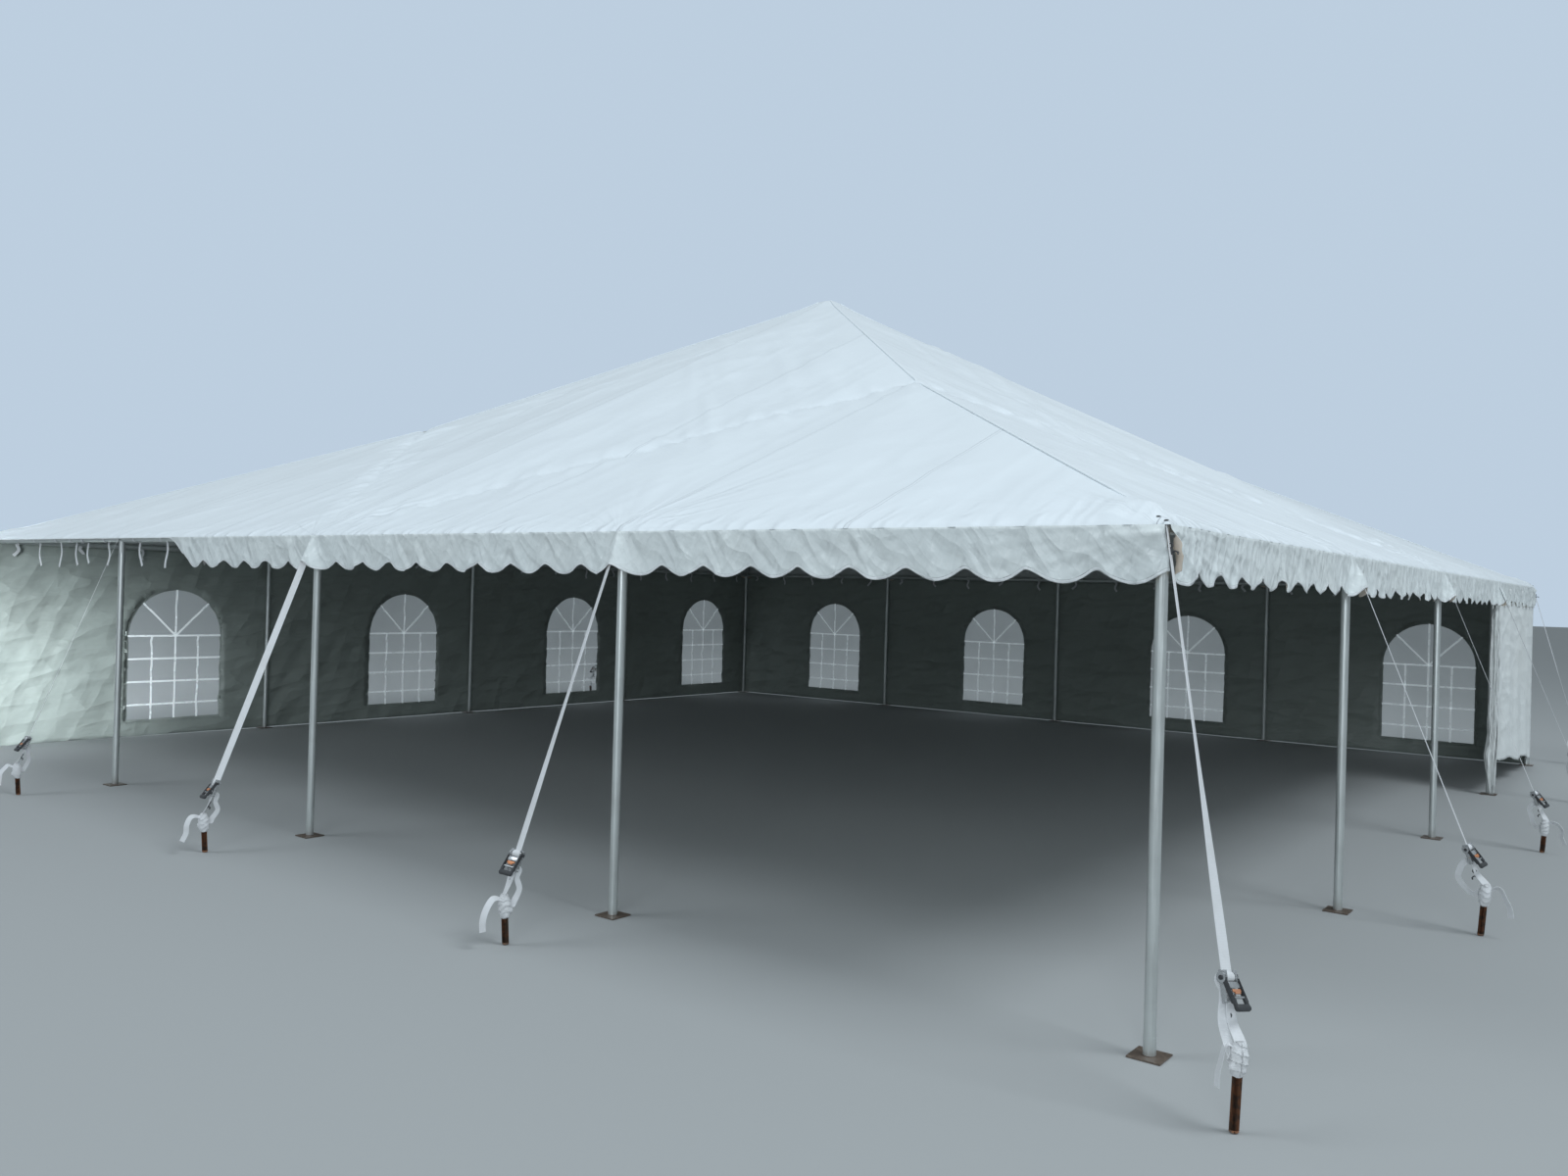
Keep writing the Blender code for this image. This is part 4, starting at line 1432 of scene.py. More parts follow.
@dataclass
class Sidewall(Assembly):
    """Sidewall of one closed side, with its arched windows of clear film and their white bars."""

    side: Side
    bottom: float = 0.01
    cell: float = 0.036
    cloth: float = 0.0012
    window_width: float = 1.05
    sill: float = 0.19
    spring: float = 1.13
    window_place: float = 0.645
    border: float = 0.03
    border_lap: float = 0.006
    border_rise: float = 0.0016
    bar_width: float = 0.021
    row_pitch: float = 0.258
    ripples: int = 90
    ripple_sizes: tuple[Limits, ...] = ((0.2, 0.95), (0.02, 0.045), (0.004, 0.014), (-0.45, 0.45))
    bag_folds: tuple[float, ...] = (0.36, 0.72, 1.08, 1.44, 1.8)

    @property
    def radius(self) -> float:
        """Radius of the window's arch."""
        return self.window_width / 2

    @property
    def hem(self) -> float:
        """Distance of the cloth's free edge from a window's opening, under the border."""
        return self.border * 0.45

    def centres(self) -> list[float]:
        """Places of the windows along the side."""
        return [self.plan.half - (index + self.window_place) * self.plan.bay for index in range(self.plan.bays)]

    def stand(self, along: Array, height: Array) -> Array:
        """How far outside the leg line the middle of the cloth hangs.

        Args:
            along: Places along the side.
            height: Heights.

        Returns:
            Distances from the leg line.
        """
        plan = self.plan
        rng = np.random.default_rng(200 + self.side.value)
        share = ((along + plan.half) / plan.bay) % 1.0
        bay = np.clip(((along + plan.half) / plan.bay).astype(int), 0, plan.bays - 1)
        swell = rng.uniform(0.004, 0.032, plan.bays)[bay]
        clear = smoothstep((np.minimum(share, 1 - share) * plan.bay - 0.05) / 0.35)
        out = swell * np.sin(np.pi * share) * np.sin(np.pi * np.clip(height / plan.wall_top, 0, 1) ** 0.8)
        out += 0.007 * (1 + np.cos(2 * np.pi * along / 0.61)) * np.exp(-(plan.wall_top - height) / 0.35)
        ripple = np.zeros_like(out)
        for _ in range(self.ripples):
            place, level, long, wide, tall, slant = draws(
                rng, (-plan.half, plan.half), (0.05, 1.98), *self.ripple_sizes)
            ripple += tall * bell((along - place) / long, (height - level - slant * (along - place)) / wide)
        for level in self.bag_folds:
            ripple += 0.014 * bell((height - level - 0.012 * np.sin(along * 1.7 + level * 9)) / 0.022)
        ripple += 0.005 * crumple(along * 3.1, height * 3.1, 31 + self.side.value)
        ripple += 0.006 * np.sin(along * 5.2 + 1.5 * np.sin(height * 2.1)) * (1 - height / plan.wall_top) * clear
        calm = 0.12 + 0.88 * smoothstep((plan.wall_top - 0.04 - height) / 0.3)
        return plan.wall_centre + (out * clear + ripple * (0.25 + 0.75 * clear)) * calm

    def shaped(self, along: Array, height: Array, offset: float = 0.0) -> Array:
        """Points of the wall.

        Args:
            along: Places along the side.
            height: Heights.
            offset: Distance outside the middle of the cloth.

        Returns:
            Points in the tent's frame.
        """
        out = self.stand(along, height) + offset
        return turned(stacked(along, -(self.plan.half + out), height), self.side.turn)

    def half_width(self, height: Array, grow: float = 0.0) -> Array:
        """Half width of a window opening at a height.

        Args:
            height: Heights.
            grow: How much larger than the window the opening is taken.

        Returns:
            Half widths, below zero where there is no opening.
        """
        radius = self.radius + grow
        above = np.maximum(height - self.spring, 0.0)
        width = np.sqrt(np.clip(radius ** 2 - above ** 2, 0, None))
        return np.where((height < self.sill - grow) | (above > radius), -1.0, width)

    def build_cloth(self) -> Piece:
        """Cloth of the wall with the windows left open.

        Returns:
            The cloth.
        """
        plan = self.plan
        left, right = -(plan.half + plan.wall_centre), plan.half + plan.wall_edge
        columns = round((right - left) / self.cell) + 1
        rows = round((plan.wall_top - self.bottom) / self.cell) + 1
        along, share = np.meshgrid(np.linspace(left, right, columns), np.linspace(0, 1, rows))
        top = plan.wall_top + 0.036 * smoothstep((plan.from_post(along) - 0.05) / 0.1)
        height = self.bottom + (top - self.bottom) * share
        inside = np.zeros(along.shape, bool)
        for centre in self.centres():
            inside |= np.abs(along - centre) < self.half_width(height, self.hem)
        keep = ~(inside[:-1, :-1] | inside[:-1, 1:] | inside[1:, 1:] | inside[1:, :-1])
        used, faces = np.unique(grid_faces(rows, columns, keep), return_inverse=True)
        faces = faces.reshape(-1, 4)
        uv = stacked(along, height)[used]
        points = self.snapped(self.shaped(along, height)[used], faces, uv)
        piece = add_mesh(f"sidewall_cloth_{self.side.title}", points, faces, uv)
        placed(piece, self.finishes.wall, [f"sidewall_{self.side.title}"])
        # The inner side takes the dark finish of painted shade.
        return backed(piece, self.cloth, self.finishes.wall_inner_painted_shade)

    def snapped(self, points: Array, faces: Array, uv: Array) -> Array:
        """Pull the cloth's free edge round a window in to an even line under its border.

        Args:
            points: Points of the wall.
            faces: Its faces.
            uv: Place along and height of each.

        Returns:
            The moved points.
        """
        reach = self.cell * 1.5
        radius = self.radius + self.hem
        low = self.sill - self.hem - self.spring
        sides = np.sort(np.concatenate([faces[:, [i, (i + 1) % 4]] for i in range(4)]), axis=1)
        ends, uses = np.unique(sides, axis=0, return_counts=True)
        rim = np.zeros(len(points), bool)
        rim[ends[uses == 1].ravel()] = True
        for centre in self.centres():
            dx, dz = uv[:, 0] - centre, uv[:, 1] - self.spring
            away = np.maximum(np.hypot(dx, dz), 1e-6)
            arch = (dz >= 0) & (away > radius) & (away < radius + reach)
            beside = (np.abs(dx) >= radius) & (np.abs(dx) < radius + reach)
            side = (dz < 0) & (dz >= low) & beside
            below = (dz < low) & (dz > low - reach)
            bend = below & beside
            foot = (below & (np.abs(dx) < radius)) | bend
            new_x = np.where(arch, dx / away * radius, np.where(side | bend, np.sign(dx) * radius, dx))
            new_z = np.where(arch, dz / away * radius, np.where(foot, low, dz))
            near = (arch | side | foot) & rim
            points[near] = self.shaped((centre + new_x)[near], (self.spring + new_z)[near])
        return points

    def outline(self, centre: float, grow: float) -> Array:
        """Closed line round a window.

        Args:
            centre: Place of the window.
            grow: Distance of the line outside the opening.

        Returns:
            Place along and height of each point.
        """
        radius, low = self.radius + grow, self.sill - grow
        arch = [(centre + radius * math.cos(a), self.spring + radius * math.sin(a))
                for a in np.linspace(0, math.pi, 30)]
        left = [(centre - radius, z) for z in np.linspace(self.spring, low, 20)[1:-1]]
        foot = [(centre + t, low) for t in np.linspace(-radius, radius, 20)]
        right = [(centre + radius, z) for z in np.linspace(low, self.spring, 20)[1:-1]]
        return np.array(arch + left + foot + right)

    def build_borders(self) -> Piece:
        """Welded band of cloth round each window, on the wall's outer side.

        Returns:
            The bands.
        """
        parts = []
        for centre in self.centres():
            rings = [self.outline(centre, grow) for grow in (-self.border_lap, self.border / 2, self.border)]
            number = np.arange(3 * len(rings[0])).reshape(3, -1)
            faces = [np.stack([a, b, np.roll(b, -1), np.roll(a, -1)], axis=-1) for a, b in zip(number, number[1:])]
            places = np.concatenate(rings)
            parts.append((self.shaped(places[:, 0], places[:, 1], self.border_rise), np.concatenate(faces), places))
        piece = add_mesh(f"window_borders_{self.side.title}", *merged(parts))
        placed(piece, self.finishes.wall)
        # The inner side takes the dark finish of painted shade.
        return backed(piece, self.cloth, self.finishes.wall_inner_painted_shade)

    def build_panes(self) -> None:
        """Clear film of the windows."""
        arch = self.spring + self.radius * np.sin(np.linspace(0, math.pi / 2, 14)[1:-1])
        levels = np.concatenate([np.linspace(self.sill, self.spring, 18), arch])
        levels[-1] = min(levels[-1], self.spring + self.radius - 0.002)
        share = np.linspace(-1, 1, 17)
        parts = []
        for centre in self.centres():
            along = centre + self.half_width(levels)[:, None] * share[None, :]
            height = np.repeat(levels[:, None], len(share), axis=1)
            parts.append((self.shaped(along, height), grid_faces(*along.shape), stacked(along, height)))
        piece = add_mesh(f"window_panes_{self.side.title}", *merged(parts))
        placed(piece, self.finishes.film, [f"window_film_{self.side.title}"])

    def bar(self, start: Limits, end: Limits, thickness: float) -> Shell:
        """One bar of a window.

        Args:
            start: Place and height of its one end.
            end: Place and height of its other end.
            thickness: Its thickness.

        Returns:
            The mesh.
        """
        line = np.linspace(start, end, 15)
        run = turned(np.array([end[0] - start[0], 0.0, end[1] - start[1]]), self.side.turn)
        across = np.cross(run, on_side(self.side, 0.0, -1.0))
        return ribbon(self.shaped(line[:, 0], line[:, 1]), across, self.bar_width, thickness)

    def build_bars(self) -> Piece:
        """White bars across each window: a grid below the springing and a fan above it.

        Returns:
            The bars.
        """
        parts, radius, spring, low = [], self.radius, self.spring, self.sill
        for x in self.centres():
            for level in range(4):
                height = spring - level * self.row_pitch
                parts.append(self.bar((x - radius, height), (x + radius, height), 0.0014))
            for place in (x - 0.5 * radius, x + 0.5 * radius):
                parts.append(self.bar((place, low), (place, spring), 0.0018))
            parts.append(self.bar((x, low), (x, spring + radius), 0.0022))
            tip = radius * math.sqrt(0.5)
            parts += [self.bar((x, spring), (x + hand * tip, spring + tip), 0.0026) for hand in HANDS]
        piece = add_mesh(f"window_bars_{self.side.title}", *merged(parts))
        crease_over(piece, 30)
        return placed(piece, self.finishes.bars)

    def build(self) -> None:
        """Build the wall and its windows."""
        cloth = self.build_cloth()
        borders = self.build_borders()
        self.build_panes()
        bars = self.build_bars()


@dataclass
class ReturnCurtain(Assembly):
    """Plain curtain over the last bay of the right side, hitched up and bunched at the last leg.

    The bundle's sections are height, half width and half depth.
    """

    hem_free: float = 0.36
    hem_corner: float = 0.1
    lap: float = 0.07
    cell: float = 0.03
    cloth: float = 0.0012
    ripples: int = 20
    ripple_sizes: tuple[Limits, ...] = ((0.3, 1.9), (0.003, 0.01), (0.016, 0.035), (-0.5, 0.5))
    bundle_rows: int = 72
    bundle_around: int = 84
    bundle_foot: float = 0.008
    sections: tuple[tuple[float, float, float], ...] = (
        (0.0, 0.022, 0.018), (0.1, 0.036, 0.026), (0.25, 0.056, 0.036), (0.4, 0.068, 0.042), (0.62, 0.056, 0.03),
        (1.0, 0.054, 0.024), (1.5, 0.052, 0.021), (1.75, 0.046, 0.018), (1.86, 0.03, 0.008))

    def build_panel(self) -> None:
        """The hanging part between the last leg and the corner."""
        plan = self.plan
        free, corner = plan.knee_place - self.lap, plan.half + plan.wall_edge
        columns = round((corner - free) / self.cell) + 1
        rows = round(plan.wall_top / self.cell) + 1
        along = np.linspace(free, corner, columns)[None, :]
        share = np.linspace(0, 1, rows)[:, None]
        bay_share = (along - free) / (corner - free)
        hem = self.hem_free + (self.hem_corner - self.hem_free) * bay_share + 0.02 * np.sin(along * 5)
        height = hem + (plan.wall_top - hem) * share
        along = along + 0 * height
        low = 1 - share
        clear = smoothstep((np.minimum(np.abs(along - plan.knee_place), np.abs(along - plan.half)) - 0.03) / 0.2)
        out = 0.03 * low * (1 + np.sin(along * 8.3 + 0.6 * np.sin(height * 3))) / 2
        out += 0.012 * low * (1 + np.sin(along * 19 + height * 1.5)) / 2
        out += 0.006 * (1 + np.cos(2 * np.pi * along / 0.5)) * np.exp(-(plan.wall_top - height) / 0.3)
        rng = np.random.default_rng(310)
        for _ in range(self.ripples):
            place, level, tall, wide, slant = draws(rng, (free, corner), *self.ripple_sizes)
            out += tall * bell((along - place) / 0.5, (height - level - slant * (along - place)) / wide)
        out = plan.wall_centre + out * (0.15 + 0.85 * clear)
        points = turned(stacked(along, -(plan.half + out), height), Side.RIGHT.turn)
        piece = add_mesh("return_curtain_panel", points, grid_faces(rows, columns), stacked(along, height))
        placed(piece, self.finishes.wall, ["return_curtain"])
        # The inner side takes the dark finish of painted shade.
        backed(piece, self.cloth, self.finishes.wall_inner_painted_shade)

    def build_bundle(self) -> None:
        """Gathered free edge: a flat bundle of folds down the leg that runs out to a tip at the ground."""
        plan = self.plan
        level, widths, depths = zip(*self.sections)
        turn = np.linspace(0, 2 * np.pi, self.bundle_around, endpoint=False)[None, :]
        height = np.linspace(self.bundle_foot, level[-1], self.bundle_rows)[:, None]
        width, depth = np.interp(height, level, widths), np.interp(height, level, depths)
        folds = np.cos(5 * turn + 0.9 * np.sin(height * 3.1)) + 0.6 * np.cos(3 * turn - 1.1 * height + 0.7)
        folds = 1 - 0.13 * (1.6 - folds) + 0.05 * crumple(turn * 2.2, height * 4.5, 41, 2)
        along = plan.knee_place - plan.wall_centre - depth * (1 - np.cos(turn) * folds)
        out = 0.03 - 0.012 * bell((height - 0.36) / 0.16) + np.sin(turn) * width * folds
        points = turned(stacked(along, -(plan.half + out), height), Side.RIGHT.turn)
        number, _, faces = ring_faces(self.bundle_rows, self.bundle_around)
        faces += [number[0, ::-1].tolist(), number[-1].tolist()]
        piece = add_mesh("return_curtain_bundle", points, faces, stacked(turn, height))
        in_edit_mode(piece, lambda: bpy.ops.mesh.normals_make_consistent(inside=False))
        placed(piece, self.finishes.wall)

    def build(self) -> None:
        """Build the curtain and its bundle."""
        self.build_panel()
        self.build_bundle()


@dataclass
class RailTies(Assembly):
    """Short ties looped round the eave rail of one side, with tails that hang from them."""

    side: Side
    width: float = 0.03
    thickness: float = 0.0014
    pitch: float = 0.61
    loop_radius: float = 0.0292
    open_front: tuple[float, ...] = (-4.84, -4.36, -4.04, -3.8, -3.36, -2.79, -2.31, -1.72)
    open_end: float = -1.5
    tail: Limits = (0.08, 0.15)
    open_tail: Limits = (0.16, 0.28)

    def tie(self, place: float, tail: float, slant: float) -> Shell:
        """One tie: a loop round the rail and a tail that hangs from its outer side.

        Args:
            place: Place along the side.
            tail: Length of the tail.
            slant: How far the tail leans.

        Returns:
            The mesh.
        """
        angles = np.linspace(math.radians(-60), math.radians(250), 16)[::-1]
        loop = [(place + 0.01 * k / 15, -self.plan.half - self.loop_radius * math.sin(a),
                 self.plan.rail_height - self.loop_radius * math.cos(a)) for k, a in enumerate(angles)]
        start = np.array(loop[-1])
        fall = [start + [slant * t * 0.05 + 0.02 * math.sin(t * 5 + slant * 3), 0.0015 * math.sin(t * 3), -tail * t]
                for t in np.linspace(0.1, 1, 11)]
        return ribbon(np.array(loop + fall), [1.0, 0.0, 0.0], self.width, self.thickness)

    def build(self) -> None:
        """Build the ties."""
        half, bay, side = self.plan.half, self.plan.bay, self.side
        rng = np.random.default_rng(500 + side.value)
        places = [p for p in np.arange(-half + 0.3, half - 0.2, self.pitch) if abs((p + half + 0.2) % bay - 0.2) > 0.14]
        if side is Side.FRONT:
            places = [*self.open_front, *(p for p in places if p > self.open_end)]
        parts, total = [], 0.0
        for place in places:
            in_open = side is Side.FRONT and place < self.open_end
            tail, slant = draws(rng, self.open_tail if in_open else self.tail, (-1, 1))
            parts.append(self.tie(place, tail, slant))
            total += tail + 5.4 * self.loop_radius
        points, faces, uv = merged(parts)
        piece = add_mesh(f"rail_ties_{side.title}", turned(points, side.turn), faces, uv)
        crease_over(piece, 40)
        placed(piece, self.finishes.webbing)


@dataclass(frozen=True)
class StrapTurn:
    """How one strap is turned about its own line, and where its loose ends hang.

    The directions are angles in plan, from straight away from the tent.
    """

    top: float
    low: float
    ratchet: float
    loop: float
    bulge: float
    tail: float
    high: float

    @classmethod
    def of(cls, number: int, side: Side, index: int) -> "StrapTurn":
        """Turn of the strap at a post.

        Args:
            number: Number of the post.
            side: Its side.
            index: Its number along the side.

        Returns:
            The strap's turn.
        """
        rng = np.random.default_rng(600 + number)
        top, low, ratchet, loop, bulge, tail, high = draws(
            rng, (-12, 12), (-8, 20), (-14, 14), (-25, 25), (0.09, 0.13), (-30, 30), (0.4, 0.47))
        loop = 180 + loop
        if side is Side.BACK and index == 0:
            top, low = 43.0, 30.0
        elif index == 0:
            top, low, ratchet, loop, bulge, tail, high = -54.0, -22.0, -30.0, -90.0, 0.034, -115.0, 0.472
        elif side is Side.RIGHT:
            top, low, (ratchet, tail) = -9.0, -6.0, draws(rng, (8, 18), (-12, 4))
            high = (0.44, 0.4, 0.43)[index - 1]
        elif side is Side.FRONT:
            top, low = ((22.0, 20.0), (-30.0, -26.0), (27.0, 10.0))[index - 1]
            bulge, tail, high = 0.075, 0.0, 0.408
        return cls(*map(math.radians, (top, low, ratchet, loop)), bulge, math.radians(tail), high)


@dataclass
class HardwareKit:
    """Ratchet, hook and stake, each modelled once at the origin and then copied."""

    finishes: Finishes
    stake_height: float = 0.245
    stake_radius: float = 0.0138
    head: tuple[Limits, ...] = ((0.002, 1.25), (0.005, 1.0), (0.002, 0.85))
    handle_tilt: float = -0.32
    spool: Limits = (0.004, 0.038)
    tooth: float = 0.0045
    wire: float = 0.0032
    patterns: dict[str, list[tuple[Piece, Material]]] = field(default_factory=dict)

    def block(self, size: Sequence[float], centre: Sequence[float], bevel: float, tilted: bool = False) -> Piece:
        """Box with its edges rounded.

        Args:
            size: Its sizes.
            centre: Its middle.
            bevel: Width of its rounded edges.
            tilted: Whether it lies along the handle.

        Returns:
            The box.
        """
        tilt = self.handle_tilt if tilted else 0.0
        bpy.ops.mesh.primitive_cube_add(size=1.0, location=centre, rotation=(0, tilt, 0), scale=size)
        bpy.ops.object.transform_apply(location=False, rotation=False, scale=True)
        return rounded(bpy.context.object, bevel, 2)

    @staticmethod
    def barrel(vertices: int, radius: float, length: float, centre: Sequence[float]) -> Piece:
        """Round bar along Y."""
        bpy.ops.mesh.primitive_cylinder_add(vertices=vertices, radius=radius, depth=length, location=centre,
                                            rotation=(math.pi / 2, 0, 0))
        return bpy.context.object

    def rod(self, radius: float, length: float, centre: Sequence[float]) -> Piece:
        """Round bar along Y with its ends rounded."""
        return rounded(self.barrel(16, radius, length, centre), radius * 0.15)

    def gear(self, centre: Sequence[float]) -> Piece:
        """Toothed wheel of the spool.

        Args:
            centre: Its middle.

        Returns:
            The wheel.
        """
        wheel = self.barrel(24, 0.0175, 0.004, centre)
        sides = [face.index for face in wheel.data.polygons if len(face.vertices) == 4]
        in_edit_mode(wheel, lambda: bpy.ops.mesh.extrude_faces_move(
            TRANSFORM_OT_shrink_fatten={"value": self.tooth}), sides[::2])
        return wheel

    def model_ratchet(self) -> None:
        """Ratchet with +Z up along the strap and +X outwards: frame, gears, pawl and handle."""
        parts, handle, (x, z) = [], [], self.spool
        for hand in HANDS:
            parts += [self.block((0.02, 0.0028, 0.112), (0.0, hand * 0.0285, 0.008), 0.0012),
                      self.block((0.034, 0.0028, 0.05), (0.006, hand * 0.0287, z), 0.0012),
                      self.gear((x, hand * 0.0335, z))]
            handle += [self.block((0.019, 0.003, 0.096), (0.026, hand * 0.0375, -0.002), 0.0012, True),
                       self.rod(0.0085, 0.01, (x, hand * 0.0395, z)),
                       self.block((0.014, 0.015, 0.036), (0.041, hand * 0.034, -0.044), 0.005, True)]
        parts += [self.rod(0.0065, 0.076, (x, 0.0, z)), self.rod(0.0055, 0.066, (0.0, 0.0, -0.04)),
                  self.block((0.003, 0.054, 0.046), (-0.008, 0.0, -0.016), 0.0012),
                  self.block((0.0028, 0.06, 0.022), (0.026, 0.0, 0.012), 0.0011, True),
                  self.rod(0.005, 0.072, (0.037, 0.0, -0.03))]
        pawl = [self.block((0.004, 0.048, 0.011), (0.033, 0.0, -0.007), 0.0016, True),
                self.block((0.006, 0.03, 0.008), (0.037, 0.0, -0.015), 0.0022, True)]
        handle.append(self.block((0.022, 0.082, 0.026), (0.048, 0.0, -0.064), 0.0095, True))
        self.patterns["ratchet"] = [(joined(parts, "frame"), self.finishes.zinc),
                                    (joined(pawl, "pawl"), self.finishes.orange_zinc),
                                    (joined(handle, "grip"), self.finishes.rubber)]

    @staticmethod
    def bend_wire() -> None:
        """Draw the selected disc out down the shank, round the bend and up to the point."""
        bpy.ops.mesh.extrude_region_move(TRANSFORM_OT_translate={"value": (0, 0, -0.03)})
        bpy.ops.mesh.spin(steps=12, angle=math.radians(200), center=(0.012, 0, -0.008), axis=(0, -1, 0))
        bpy.ops.mesh.extrude_region_move(TRANSFORM_OT_translate={"value": (0.003, 0, 0.012)})
        bpy.ops.mesh.select_all(action="SELECT")
        bpy.ops.mesh.remove_doubles(threshold=0.00005)
        bpy.ops.mesh.normals_make_consistent(inside=False)

    def model_hook(self) -> None:
        """Open wire hook in the XZ plane, its eye at the top and its point turned up."""
        bpy.ops.mesh.primitive_circle_add(vertices=10, radius=self.wire, fill_type="NGON", location=(0, 0, 0.022))
        hook = bpy.context.object
        apply_place()
        in_edit_mode(hook, self.bend_wire)
        bpy.ops.mesh.primitive_torus_add(major_radius=0.009, minor_radius=0.003, major_segments=18,
                                         minor_segments=8, location=(0, 0, 0.03), rotation=(math.pi / 2, 0, 0))
        self.patterns["hook"] = [(joined([hook, bpy.context.object], "hook"), self.finishes.rubber)]

    def hammer(self) -> None:
        """Spread the selected top of the stake into a head."""
        for rise, grow in self.head:
            bpy.ops.mesh.extrude_region_move(TRANSFORM_OT_translate={"value": (0, 0, rise)})
            bpy.ops.transform.resize(value=(grow, grow, 1.0))

    def model_stake(self) -> None:
        """Steel stake with a hammered head, cut off at the ground."""
        length = self.stake_height - 0.01
        bpy.ops.mesh.primitive_cylinder_add(vertices=20, radius=self.stake_radius, depth=length,
                                            location=(0, 0, length / 2 + 0.001))
        stake = bpy.context.object
        select_only(stake)
        apply_place()
        in_edit_mode(stake, self.hammer, [face.index for face in stake.data.polygons if face.normal.z > 0.9])
        self.patterns["stake"] = [(joined([stake], "stake"), self.finishes.stake)]

    def model(self) -> None:
        """Model each pattern."""
        deselect()
        self.model_ratchet()
        self.model_hook()
        self.model_stake()
        for pieces in self.patterns.values():
            for piece, _ in pieces:
                crease_over(piece, 38)

    def copy(self, kind: str, name: str, place: Matrix) -> None:
        """Put a copy of a pattern in its place.

        Args:
            kind: Name of the pattern.
            name: Name of the post and use.
            place: Where the copy goes.
        """
        for pattern, material in self.patterns[kind]:
            mesh = pattern.data.copy()
            mesh.transform(place)
            title = kind if pattern.name == kind else f"{kind}_{pattern.name}"
            placed(linked(f"{title}_{name}", mesh), material)

    def put_away(self) -> None:
        """Delete the patterns."""
        for pieces in self.patterns.values():
            for piece, _ in pieces:
                bpy.data.objects.remove(piece)


